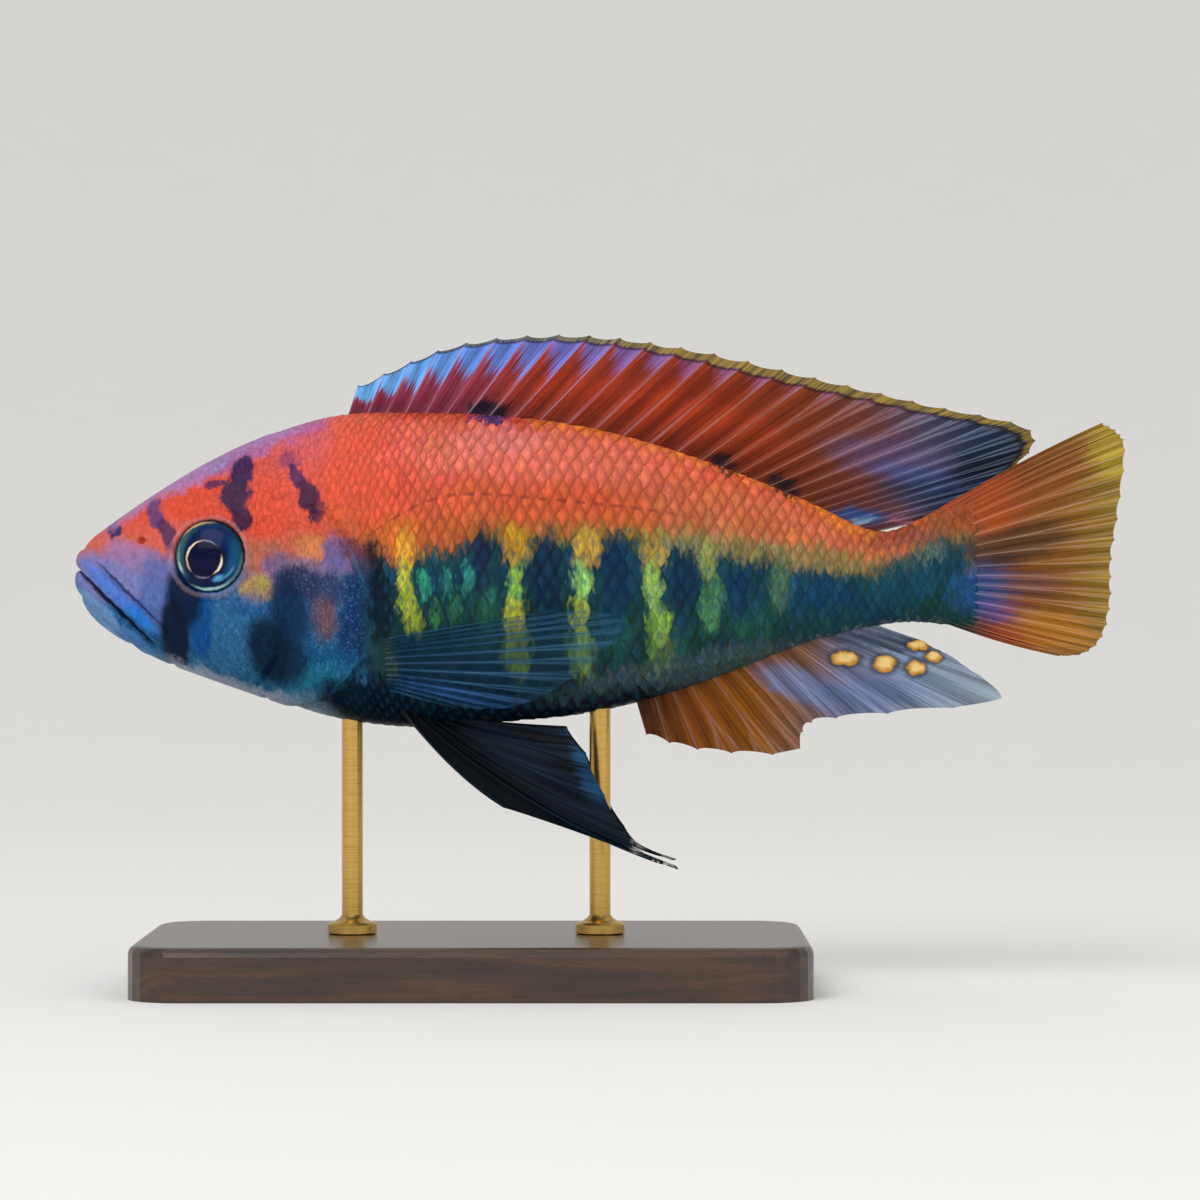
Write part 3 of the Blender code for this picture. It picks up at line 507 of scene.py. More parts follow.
FLANK_MARKS = (
    # every row of marks: colour, along the fish, height, half length, half height, turn in degrees,
    # softness of the edge, strength
    ("DE7260", 52, 13.4, 15, 2.8, -6, 0.9, 0.6),
    ("E05038", 33, 10, 6, 7, 0, 0.9, 0.6),
    ("BE7450", 77, 6.0, 15, 3.2, -14, 0.9, 0.5),
    ("D87C78", 49, 15.2, 5, 1.6, 0, 0.9, 0.5),
    ("D25A38", 57, 7.4, 9, 1.8, -4, 0.9, 0.5),
    # painted shadow: these three near-black marks stand for the shade that the gill cover's free edge
    # throws on the trunk behind it
    ("060F1C", 34.6, 0.8, 1.2, 3.2, 0, 0.8, 0.85),
    ("041424", 35.4, -3.6, 1.5, 3.6, 0, 0.8, 0.85),
    ("041422", 34.4, -13.6, 4.0, 2.4, -10, 0.8, 0.9),
    ("2A6E50", 47.0, -4.0, 1.4, 5.0, 0, 0.9, 0.5),
    ("1E6A52", 61.8, -6.0, 1.4, 4.4, 0, 0.9, 0.4),
    ("24604A", 69.0, -6.0, 1.2, 3.6, 0, 0.9, 0.4),
    ("1E5C4C", 77.0, -4.5, 3.0, 2.6, 0, 0.9, 0.4),
    ("D8742E", 37.6, 4.2, 2.4, 2.6, 0, 0.75, 0.8),
    ("C45A34", 42, 4.6, 3.2, 1.8, 0, 0.75, 0.7),
    ("141C3A", 46.6, 1.6, 1.2, 4.2, 0, 0.7, 0.85),
    ("0A2040", 53.8, -0.8, 1.6, 5.8, 0, 0.7, 0.85),
    ("0C2A4A", 61.5, -1.2, 1.7, 5.6, 0, 0.7, 0.85),
    ("0C2844", 69.2, -1.2, 1.6, 5.0, 0, 0.7, 0.8),
    ("0E2E50", 76.0, -2.0, 1.8, 3.0, 0, 0.7, 0.7),
    ("0C3A5A", 85.0, -1.8, 4.5, 2.0, 0, 0.8, 0.6),
    ("0E4656", 94.5, -0.5, 3.6, 2.6, 0, 0.8, 0.7),
    ("D89A34", 37.9, 2.8, 1.15, 2.2, 0, 0.75, 0.9),
    ("B8B446", 38.0, -0.6, 0.85, 2.2, 0, 0.75, 0.95),
    ("96A634", 38.5, -4.0, 0.95, 2.8, 12, 0.75, 0.95),
    ("2E8C78", 40.3, -1.0, 0.7, 1.7, 0, 0.75, 0.85),
    ("2A806E", 42.6, -0.8, 0.7, 1.8, 0, 0.75, 0.85),
    ("2F7F72", 44.9, -0.4, 0.7, 1.6, 0, 0.75, 0.8),
    ("3A7A48", 41.2, -4.4, 0.7, 1.5, 0, 0.75, 0.8),
    ("2E6E50", 43.6, -4.0, 0.7, 1.5, 0, 0.75, 0.8),
    ("B88A22", 50.3, 3.6, 1.4, 2.2, 0, 0.75, 0.9),
    ("7FAE48", 50.3, -0.8, 0.9, 2.4, 0, 0.75, 0.95),
    ("A6AE36", 50.1, -5.0, 1.15, 2.6, 0, 0.75, 0.9),
    ("7C9A38", 50.3, -9.0, 1.5, 2.6, 0, 0.7, 0.75),
    ("C09A3C", 58.3, 3.2, 1.45, 2.3, 0, 0.75, 0.85),
    ("88BC68", 57.8, -0.9, 1.0, 2.6, 0, 0.75, 0.95),
    ("9CB040", 57.5, -5.0, 1.15, 2.6, 0, 0.75, 0.85),
    ("6C8E3E", 57.8, -9.0, 1.6, 2.6, 0, 0.7, 0.7),
    ("A8903E", 65.8, 2.4, 1.4, 2.2, 0, 0.75, 0.8),
    ("94BE60", 65.7, -1.6, 1.0, 2.8, 0, 0.75, 0.95),
    ("7FA840", 66.4, -5.6, 1.35, 2.4, 0, 0.75, 0.85),
    ("5E7F3E", 67.0, -9.0, 1.7, 2.4, 0, 0.7, 0.7),
    ("8A9040", 72.0, 1.6, 1.1, 2.2, 0, 0.7, 0.7),
    ("4C8254", 72.4, -3.0, 1.2, 3.4, 0, 0.7, 0.7),
    ("4F7048", 80.2, -1.0, 1.2, 3.0, 0, 0.8, 0.6),
    ("4C5C5C", 68, -11.2, 15, 1.9, 12, 0.8, 0.55),
    ("5E7064", 97.4, 3.0, 1.6, 1.6, 0, 0.8, 0.6),
    ("8C8450", 73, 3.4, 7.5, 1.5, -8, 0.9, 0.6),
    ("7A7C50", 84, 1.9, 6.5, 1.3, -9, 0.9, 0.6),
    ("7E4234", 94, 4.4, 4.5, 1.3, 0, 0.9, 0.75),
    ("9E5030", 102.6, 8.0, 2.6, 3.0, 30, 0.8, 0.8),
    ("86462C", 99.6, 6.2, 3.2, 1.7, 20, 0.9, 0.7),
    ("5A4438", 103.6, 2.4, 2.2, 3.0, 0, 0.8, 0.8),
    ("225088", 103.4, -1.8, 3.6, 2.8, 0, 1.0, 0.8),
)
BACK_SPOTS = (
    ("2A3478", 47.2, 17.9, 2.3, 0.6, 0, 0.6, 0.9),
    ("241828", 73.9, 12.2, 1.6, 0.5, -22, 0.6, 0.8),
    ("241828", 80.8, 9.5, 1.5, 0.5, -24, 0.6, 0.8),
)
HEAD_STOPS = (
    # height, colour
    (-18, "A2A4A6"), (-15, "6E8C9C"), (-12.5, "17587E"), (-8, "164F7C"), (-3.5, "1C5488"), (-0.8, "3F5F92"),
    (1.2, "8A6A86"), (3.2, "C4604E"), (7, "D55039"), (12, "D25445"), (16, "C8606C"), (19, "A8689A"),
)
HEAD_MARKS = (
    ("7A78B0", 4.4, -0.6, 4.6, 2.6, -20, 0.6, 0.95),
    ("8E74A8", 6.9, 2.0, 3.2, 1.5, -25, 0.8, 0.75),
    ("5E66A4", 10.7, -0.9, 3.2, 2.4, -35, 0.7, 0.9),
    ("5468A8", 9.9, -3.6, 2.6, 2.4, -40, 0.7, 0.8),
    ("D55C50", 10.9, 4.2, 3.0, 1.8, -10, 0.7, 0.6),
    ("D64C35", 14.2, 8.6, 3.2, 2.2, 20, 0.8, 0.7),
    ("DA4D34", 22.3, 7.0, 2.6, 4.0, 0, 0.7, 0.8),
    # violet patches over the brow and nape: the skin's violet with a painted sheen
    ("A878B0", 14.4, 11.6, 4.2, 1.1, 28, 0.9, 0.8),
    ("9C6CA8", 19.2, 13.6, 4.0, 1.3, 24, 0.9, 0.7),
    ("B0669A", 25.6, 16.3, 4.5, 0.9, 16, 0.9, 0.7),
    ("8C84B4", 16.2, 12.6, 1.6, 0.8, 30, 0.9, 0.6),
    ("B4664E", 22.1, 2.0, 2.4, 2.2, 0, 0.7, 0.9),
    ("B08A4C", 21.3, -1.6, 1.9, 1.6, 0, 0.7, 0.9),
    ("A8A044", 21.9, -1.0, 0.8, 0.8, 20, 0.9, 0.5),
    ("6E5C88", 23.7, 0.6, 1.3, 2.2, 20, 0.8, 0.8),
    ("C67C4A", 27.5, 3.0, 2.2, 1.6, 0, 0.7, 0.8),
    ("5C5A92", 30.4, 2.4, 1.6, 2.0, 0, 0.7, 0.85),
    ("6A3C44", 33.0, 3.4, 2.2, 2.0, 0, 0.7, 0.8),
    ("2C628C", 17.7, -6.9, 3.2, 4.0, 0, 0.8, 0.7),
    ("1C4E86", 20.3, -3.4, 2.4, 1.4, 0, 0.8, 0.6),
    ("1E2648", 26.1, -0.8, 2.6, 1.8, 0, 0.6, 0.9),
    ("2A2C52", 28.9, -1.6, 2.6, 2.0, 0, 0.7, 0.8),
    ("5E4450", 28.9, -4.8, 1.5, 2.6, 0, 0.8, 0.75),
    ("744844", 29.4, -5.0, 1.1, 1.8, 15, 0.9, 0.55),
    ("08285A", 32.4, -4.5, 1.7, 6.5, -6, 0.7, 0.9),
    ("06507A", 29.0, -10.2, 3.4, 2.4, 0, 0.7, 0.8),
    ("1E6E8C", 27.7, -11.6, 3.4, 1.1, 22, 0.8, 0.6),
    ("262A5C", 4.7, 5.0, 0.9, 1.0, -30, 0.45, 0.95),
    ("584070", 9.4, 7.2, 0.95, 2.0, 22, 0.5, 0.9),
    ("4A2E58", 10.9, 4.6, 0.85, 1.9, 22, 0.5, 0.9),
    ("382250", 19.5, 11.8, 1.2, 1.8, -12, 0.42, 0.97),
    ("351E46", 18.7, 9.2, 1.6, 2.0, 0, 0.42, 0.97),
    ("3E1C42", 19.4, 6.3, 1.2, 1.7, 20, 0.42, 0.97),
    ("4C2C5C", 16.3, 10.2, 1.5, 0.45, 12, 0.5, 0.85),
    ("7A3C6C", 24.8, 13.0, 1.1, 1.2, 0, 0.6, 0.7),
    ("4E2456", 25.8, 11.0, 0.75, 1.7, 20, 0.45, 0.92),
    ("441A3E", 27.1, 8.8, 1.15, 1.8, 18, 0.42, 0.97),
    ("3C183C", 28.1, 7.1, 1.0, 1.1, 0, 0.42, 0.97),
    ("04142A", 33.2, -14.0, 5.0, 2.1, -8, 0.6, 0.97),
)
CALM_MARKS = (
    ("044888", 14.9, -5.4, 1.3, 4.2, 0, 0.6, 0.95),
    ("031A38", 13.0, -2.6, 2.0, 3.4, 8, 0.5, 0.97),
    ("02142C", 11.9, -6.8, 1.6, 4.4, 4, 0.5, 0.97),
    ("082448", 25.0, -4.2, 2.3, 4.0, 10, 0.8, 0.9),
    ("02182E", 22.6, -8.6, 2.3, 3.9, 14, 0.6, 0.93),
    ("041C34", 24.8, -9.8, 2.2, 2.6, 0, 0.8, 0.85),
    ("3A72CC", 4.9, -2.0, 4.6, 0.85, -44, 0.7, 0.75),
    ("2474CC", 7.9, -4.9, 2.4, 0.6, -44, 0.7, 0.75),
    # painted shade: a thin dark line in the groove above the upper lip
    ("22346E", 6.4, -1.9, 4.6, 0.22, -44, 0.6, 0.75),
    ("6A90BC", 3.1, -4.2, 3.6, 0.9, -46, 0.5, 0.85),
    ("4478B0", 7.4, -8.0, 2.8, 0.9, -42, 0.6, 0.8),
    ("6E9AC4", 4.6, -7.4, 3.2, 0.8, -38, 0.7, 0.7),
    # painted shade: a thin dark line in the crease of the mouth
    ("101C38", 4.9, -3.55, 6.4, 0.26, -44, 0.9, 0.9),
    # a pale blue line along the gill cover's free edge: the edge membrane's own colour with a painted rim
    # highlight
    ("2E6C9C", 33.3, -0.4, 0.3, 3.2, 20, 0.9, 0.5),
    ("246C98", 34.0, -6.2, 0.3, 3.0, -7, 0.9, 0.5),
    ("246C8C", 31.6, -11.2, 0.3, 3.2, -41, 0.9, 0.5),
)
# heights and length that the curves along the fish cover
SPAN = (-20.0, 20.0)
LONGEST = 120.0
# a share of colour too small to show, and a width with no end, so that marks reach both flanks
HAIRSBREADTH = (1e-6, 1e-6, 1e-6)
ENDLESS = 1e6


def paint_marks(tree, colour, place, marks):
    """Lay a row of soft oval marks over a colour, each turned and sized in millimetres."""
    for code, s, z, half_s, half_z, turn, soft, strength in marks:
        # the hair's breadth of colour makes each oval wait for the last, so few are held at once
        after = add(tree, "VectorMath", "MULTIPLY_ADD", (colour, HAIRSBREADTH, place))
        oval = add(tree, "Mapping", {"vector_type": "TEXTURE"}, {
            "Vector": after,
            "Location": (s, 0, z),
            "Rotation": (0, -math.radians(turn), 0),
            "Scale": (half_s, ENDLESS, half_z),
        })
        reach = add(tree, "VectorMath", "LENGTH", (oval,), out=1)
        mask = add(tree, "MapRange", "SMOOTHSTEP", (reach, 1 + soft / 2, 1 - soft / 2, 0.0, strength))
        colour = add(tree, "Mix", "RGBA", {0: mask, 6: colour, 7: code}, out=2)
    return colour


def ramp_over(tree, value, stops):
    """A colour for each value, from rows of a value and its colour."""
    first, last = stops[0][0], stops[-1][0]
    share = add(tree, "MapRange", None, (value, first, last))
    even = [((at - first) / (last - first), code) for at, code in stops]
    return add(tree, "ValToRGB", {"stops": even}, (share,))


def waver(tree, place, ripple, amount):
    """A place moved about by a ripple of noise, by up to half the amount each way."""
    centred = add(tree, "VectorMath", "SUBTRACT", (ripple, (0.5, 0.5, 0.5)))
    return add(tree, "VectorMath", "MULTIPLY_ADD", (centred, amount, place))


def drawn_noise(tree, place, waves, detail, roughness=0.5, distortion=0.0, out=0):
    """Noise drawn out along the fish, from its waves to a millimetre each way."""
    drawn = add(tree, "Mapping", None, {"Vector": place, "Scale": waves})
    return add(tree, "TexNoise", None, {
        "Vector": drawn, "Scale": 1.0, "Detail": detail, "Roughness": roughness, "Distortion": distortion,
    }, out=out)


def away_from(tree, value, middle):
    """How far a value stands from a middle, on either side."""
    off = add(tree, "Math", "SUBTRACT", (value, middle))
    return add(tree, "Math", "ABSOLUTE", (off,))


def outline_height(tree, s, rows):
    """A height in millimetres that follows rows of s and height along the fish."""
    share = add(tree, "Math", "DIVIDE", (s, LONGEST))
    points = [(place / LONGEST, (height - SPAN[0]) / (SPAN[1] - SPAN[0])) for place, height in rows]
    curve = add(tree, "FloatCurve", {"points": points}, {"Value": share})
    return add(tree, "MapRange", {"clamp": False}, {0: curve, 3: SPAN[0], 4: SPAN[1]})


markings = bpy.data.node_groups.new("breeding_dress", "ShaderNodeTree")
markings.interface.new_socket("Place", in_out="INPUT", socket_type="NodeSocketVector")
markings.interface.new_socket("Colour", in_out="OUTPUT", socket_type="NodeSocketColor")
markings.interface.new_socket("Over border", in_out="OUTPUT", socket_type="NodeSocketFloat")
entry = markings.nodes.new("NodeGroupInput").outputs[0]
exit_node = markings.nodes.new("NodeGroupOutput")
ripple = add(markings, "TexNoise", None, {"Vector": entry, "Scale": 0.55, "Detail": 3.0}, out=1)
jitter = waver(markings, entry, ripple, (1.9, 0, 1.9))
from_snout = add(markings, "SeparateXYZ", None, (entry,))
calm_head = add(markings, "MapRange", None, (from_snout, 28.0, 36.0, 0.35, 1.0))
amount = add(markings, "VectorMath", "SCALE", {0: (1.7, 0, 3.6), "Scale": calm_head})
ripple = drawn_noise(markings, entry, (2.6, 1.0, 0.9), 2.0, out=1)
jitter = waver(markings, jitter, ripple, amount)
s_place = add(markings, "SeparateXYZ", None, (jitter,))
z_place = s_place.node.outputs[2]
back_line = [(max(s, 0), up) for s, up, low, half in BODY_STATIONS] + [(LONGEST, 16)]
belly_line = [(max(s, 0), low) for s, up, low, half in BODY_STATIONS] + [(LONGEST, -9)]
back = outline_height(markings, s_place, back_line)
belly = outline_height(markings, s_place, belly_line)
under_back = add(markings, "Math", "SUBTRACT", (back, z_place))
over_belly = add(markings, "Math", "SUBTRACT", (z_place, belly))
border = outline_height(markings, s_place, RED_BORDER)
over_border = add(markings, "Math", "SUBTRACT", (z_place, border))
flank_colour = ramp_over(markings, over_border, FLANK_STOPS)
flank_colour = paint_marks(markings, flank_colour, jitter, FLANK_MARKS)
head_colour = ramp_over(markings, z_place, HEAD_STOPS)
mottle = add(markings, "TexNoise", None, {"Vector": entry, "Scale": 1.4, "Detail": 4.0})
mottle = add(markings, "MapRange", None, (mottle, 0.45, 0.75, 0.0, 0.3))
bloom = add(markings, "Mix", "RGBA", {0: mottle, 6: head_colour, 7: "4E86B4"}, out=2)
low = add(markings, "MapRange", "SMOOTHSTEP", (z_place, 3.0, -1.0))
head_colour = add(markings, "Mix", "RGBA", {0: low, 6: head_colour, 7: bloom}, out=2)
head_colour = paint_marks(markings, head_colour, jitter, HEAD_MARKS)
speckle = add(markings, "TexNoise", None, {"Vector": entry, "Scale": 3.6, "Detail": 2.0})
speckle = add(markings, "MapRange", "SMOOTHSTEP", (speckle, 0.5, 0.75, 0.0, 0.28))
speckle = add(markings, "Math", "MULTIPLY", (speckle, low))
high = add(markings, "MapRange", "SMOOTHSTEP", (z_place, -13.0, -10.5))
speckle = add(markings, "Math", "MULTIPLY", (speckle, high))
head_colour = add(markings, "Mix", "RGBA", {0: speckle, 6: head_colour, 7: "6AA4C4"}, out=2)
steady = add(markings, "Mix", "VECTOR", {0: 0.5, 4: entry, 5: jitter}, out=1)
head_colour = paint_marks(markings, head_colour, steady, CALM_MARKS)
off_eye = add(markings, "VectorMath", "SUBTRACT", (steady, (EYE_CENTRE[0] - 0.3, 0, EYE_CENTRE[2])))
off_eye = add(markings, "VectorMath", "MULTIPLY", (off_eye, (1, 0, 1)))
off_eye = add(markings, "VectorMath", "LENGTH", (off_eye,), out=1)
off_eye = away_from(markings, off_eye, EYE_OPENING + 0.4)
lid = add(markings, "MapRange", "SMOOTHSTEP", (off_eye, 0.45, 0.05, 0.0, 0.3))
head_colour = add(markings, "Mix", "RGBA", {0: lid, 6: head_colour, 7: "A68C98"}, out=2)
rear = add(markings, "MapRange", "SMOOTHSTEP", (z_place, 7.0, 2.0, 0.0, 4.5))
start = add(markings, "Math", "SUBTRACT", (s_place, rear))
trunk = add(markings, "MapRange", "SMOOTHSTEP", (start, 27.5, 30.5))
whole = add(markings, "Mix", "RGBA", {0: trunk, 6: head_colour, 7: flank_colour}, out=2)
EDGES = (
    # value, full inside, nothing outside, colour, strength, from s, to s
    # violet along the forehead outline: the skin's violet with a painted sheen
    (under_back, 0.4, 1.6, "A07AAE", 0.8, 4.0, 26.0),
    (under_back, 0.2, 1.4, "C03C2C", 0.7, 36.0, 62.0),
    (under_back, 0.3, 1.3, "E8862E", 0.7, 52.0, 92.0),
    (over_belly, 0.4, 1.5, "9AA4B4", 0.8, 11.0, 25.0),
    (over_belly, 0.8, 3.6, "060F1A", 0.9, 29.0, 66.0),
    (over_belly, 0.1, 0.8, "5E6A70", 0.5, 78.0, 99.0),
)
for value, full, none, code, strength, first, last in EDGES:
    mask = add(markings, "MapRange", "SMOOTHSTEP", {0: value, 1: none, 2: full, 4: strength})
    begin = add(markings, "MapRange", "SMOOTHSTEP", (s_place, first - 2, first + 2))
    end = add(markings, "MapRange", "SMOOTHSTEP", (s_place, last + 2, last - 2))
    held = add(markings, "Math", "MULTIPLY", (begin, end))
    mask = add(markings, "Math", "MULTIPLY", (mask, held))
    whole = add(markings, "Mix", "RGBA", {0: mask, 6: whole, 7: code}, out=2)
whole = paint_marks(markings, whole, jitter, BACK_SPOTS)
markings.links.new(whole, exit_node.inputs[0])
markings.links.new(over_border, exit_node.inputs[1])


def object_place(tree):
    """Object coordinates as s, y, z in millimetres."""
    place = add(tree, "TexCoord", out=3)
    return add(tree, "VectorMath", "MULTIPLY_ADD", {
        0: place, 1: (1000, 1000, 1000), 2: (MID_LENGTH, 0, -AXIS_HEIGHT),
    })


# Wet fish skin: a thin clear film of slime over pigment and silvery guanine, so it has a soft,
# broken gloss. Its fine grain is pores about 0.6 mm apart and the outlines of small sunken scales.
PORES_PER_MM = 1.6
wet_skin, tree, surface = new_material("wet_fish_skin", {
    "Roughness": 0.42, "Specular IOR Level": 0.04, "Coat Weight": 0.07, "Coat Roughness": 0.12,
})
place = object_place(tree)
colour = add(tree, "Group", {"node_tree": markings}, (place,))
wrinkle = drawn_noise(tree, place, (1.7, 1.2, 1.1), 5.0, 0.65)
wrinkle = add(tree, "MapRange", None, (wrinkle, 0.3, 0.7, 0.8, 1.2))
colour = add(tree, "VectorMath", "SCALE", {0: colour, "Scale": wrinkle})
# sunken scales, shown only by their outlines, that fade out toward the lips
bent = add(tree, "TexNoise", None, {"Vector": place, "Scale": 1.2, "Detail": 2.0}, out=1)
bent = add(tree, "VectorMath", "MULTIPLY_ADD", (bent, (0.5, 0.5, 0.5), place))
bent = add(tree, "Mapping", None, {"Vector": bent, "Scale": (1.35, 1.0, 0.85)})
sunk = add(tree, "TexVoronoi", {"feature": "DISTANCE_TO_EDGE"}, {"Vector": bent, "Scale": 1.0})
sunk = add(tree, "MapRange", "SMOOTHSTEP", (sunk, 0.16, 0.0))
s_place = add(tree, "SeparateXYZ", None, (place,))
behind_lips = add(tree, "MapRange", "SMOOTHSTEP", (s_place, 9.0, 18.0, 0.06, 0.24))
sunk = add(tree, "Math", "MULTIPLY", (sunk, behind_lips))
shade = add(tree, "Math", "SUBTRACT", (1.0, sunk))
colour = add(tree, "VectorMath", "SCALE", {0: colour, "Scale": shade})
tree.links.new(colour, surface["Base Color"])
grain = add(tree, "TexVoronoi", {"feature": "F1"}, {"Vector": place, "Scale": PORES_PER_MM})
fine = add(tree, "TexNoise", None, {"Vector": place, "Scale": 4.0, "Detail": 3.0})
height = add(tree, "Math", "MULTIPLY_ADD", (fine, 0.6, grain))
height = add(tree, "Math", "MULTIPLY_ADD", (sunk, -3.0, height))
bump = add(tree, "Bump", None, {"Strength": 0.35, "Distance": 0.0001, "Height": height})
tree.links.new(bump, surface["Normal"])
rough = add(tree, "MapRange", None, {0: fine, 3: 0.28, 4: 0.5})
tree.links.new(rough, surface["Roughness"])
put_on(skin, wet_skin)
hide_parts("head", "lower_jaw", "torso", "tail_stalk", "gill_cover_left", "gill_cover_right")
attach(skin, "root")

# The scales: thin fans of bone in clear skin, rooted in front and lapping backward in staggered rows
# like roof tiles. They thin out toward the tail, where the rows are closer.
SCALE_ROWS, SCALE_COLUMNS = 4, 7
SCALE_LENGTH = 1.62
SCALE_HEIGHT = 2.16
SCALE_POINT = 0.32
SCALE_WAIST = 0.25
SCALE_THICKNESS = 0.045
SCALE_ROOT, SCALE_LIFT, SCALE_CROWN = -0.1, 0.12, 0.05
FULL_PITCH = 1.75
# how far a scale strays along and across its row, differs in length, and grows askew
STRAY, DRIFT, UNLIKE, ASKEW = 0.08, 0.002, 0.07, 0.13
# spacing of the columns and rows, as millimetres along the fish and the spacing there
TRUNK_COLUMNS = ((19, 0.75), (28, 0.9), (36, 1.1), (48, 1.6), (62, 1.7), (84, 1.35), (100, 0.95))
TRUNK_ROWS = ((19, 0.75), (28, 0.9), (36, 1.15), (48, 1.5), (62, 1.55), (84, 1.2), (100, 0.9))
COVER_COLUMNS, COVER_ROWS = ((24, 1.7), (34, 1.9)), ((24, 1.35), (34, 1.5))
CHEEK_COLUMNS, CHEEK_ROWS = ((13, 1.1), (24, 1.3)), ((13, 0.9), (24, 1.0))
TRUNK_END = 102.4
TRUNK_BULGE, TRUNK_RAGGED = 3.5, 0.7
EYE_CLEAR = 5.9
MOST_ROWS = 26
BAKE_PATCH = 0.003
BAKE_LENGTH, BAKE_ROUND = 110, 100
SCALE_CHANCE = 11


def ring_arc(s, up):
    """Length of the skin from the middle of the flank to the back, or down to the belly, at s."""
    return np.where(up, np.interp(s, RING_S, UPPER_ARC), np.interp(s, RING_S, LOWER_ARC))


def scale_places(first, last, column_pitches, row_pitches, held):
    """Roots of a patch of scales on one side: s, column share and the pitches there."""
    spots = [first]
    while spots[-1] < last:
        spots.append(spots[-1] + float(np.interp(spots[-1], *zip(*column_pitches))))
    found = []
    for k in range(-MOST_ROWS, MOST_ROWS + 1):
        s = np.interp(np.arange(len(spots) - 1) + 0.5 * (k % 2), np.arange(len(spots)), spots)
        column_pitch = np.interp(s, *zip(*column_pitches))
        row_pitch = np.interp(s, *zip(*row_pitches))
        arc = ring_arc(s, k >= 0)
        share = k * row_pitch / arc
        here = np.abs(share) < 1 - 0.1 * row_pitch / arc
        point, _ = on_skin(s, np.clip(share, -1, 1))
        keep = here & held(s, point[:, 2], share, s + SCALE_LENGTH * column_pitch)
        found.append(np.column_stack((s, share, column_pitch, row_pitch))[keep])
    return np.vstack(found)


def on_trunk(s, z, share, end):
    """Which scales of the trunk are kept: those from the gill cover to the root of the tail fin."""
    edge = np.maximum(coat_edge(share - 0.05), coat_edge(share + 0.05))
    ragged = TRUNK_RAGGED * np.sin(37 * share)
    return (s > edge + 0.1) & (end < TRUNK_END - TRUNK_BULGE * share ** 2 + ragged)


def on_cover(s, z, share, end):
    """Which scales of the gill cover are kept."""
    return (s > cheek_end(z) + 0.4) & (end < gill_edge(share) - 0.2) & (z > -10.5) & (z < 2.6)


def on_cheek(s, z, share, end):
    """Which scales of the cheek are kept: those that are clear of the eye."""
    clear = [np.hypot(place - EYE_CENTRE[0], z - EYE_CENTRE[2]) > EYE_CLEAR for place in (s, end)]
    return (s > 13.5) & (end < cheek_end(z) - 0.3) & (z > -11) & (z < -2.5) & clear[0] & clear[1]


def keep_on_points(mesh, name, kind, values):
    """Keep a number or a place for each point of a mesh, for its material to read."""
    field = "vector" if kind == "FLOAT_VECTOR" else "value"
    held = mesh.attributes.new(name, kind, "POINT")
    held.data.foreach_set(field, values.astype(np.float32).ravel())


def fill_map(mesh, layer, values):
    """Fill a UV layer from a pair of numbers for each point of a mesh."""
    corner = np.array([loop.vertex_index for loop in mesh.loops])
    layer.data.foreach_set("uv", values[corner].astype(np.float32).ravel())


one_scale, row, column = add_grid("one_scale", SCALE_ROWS, SCALE_COLUMNS)
scale_faces = np.array([face.vertices[:] for face in one_scale.data.polygons])
t = row / (SCALE_ROWS - 1)
w = 2 * column / (SCALE_COLUMNS - 1) - 1
bpy.ops.object.delete()

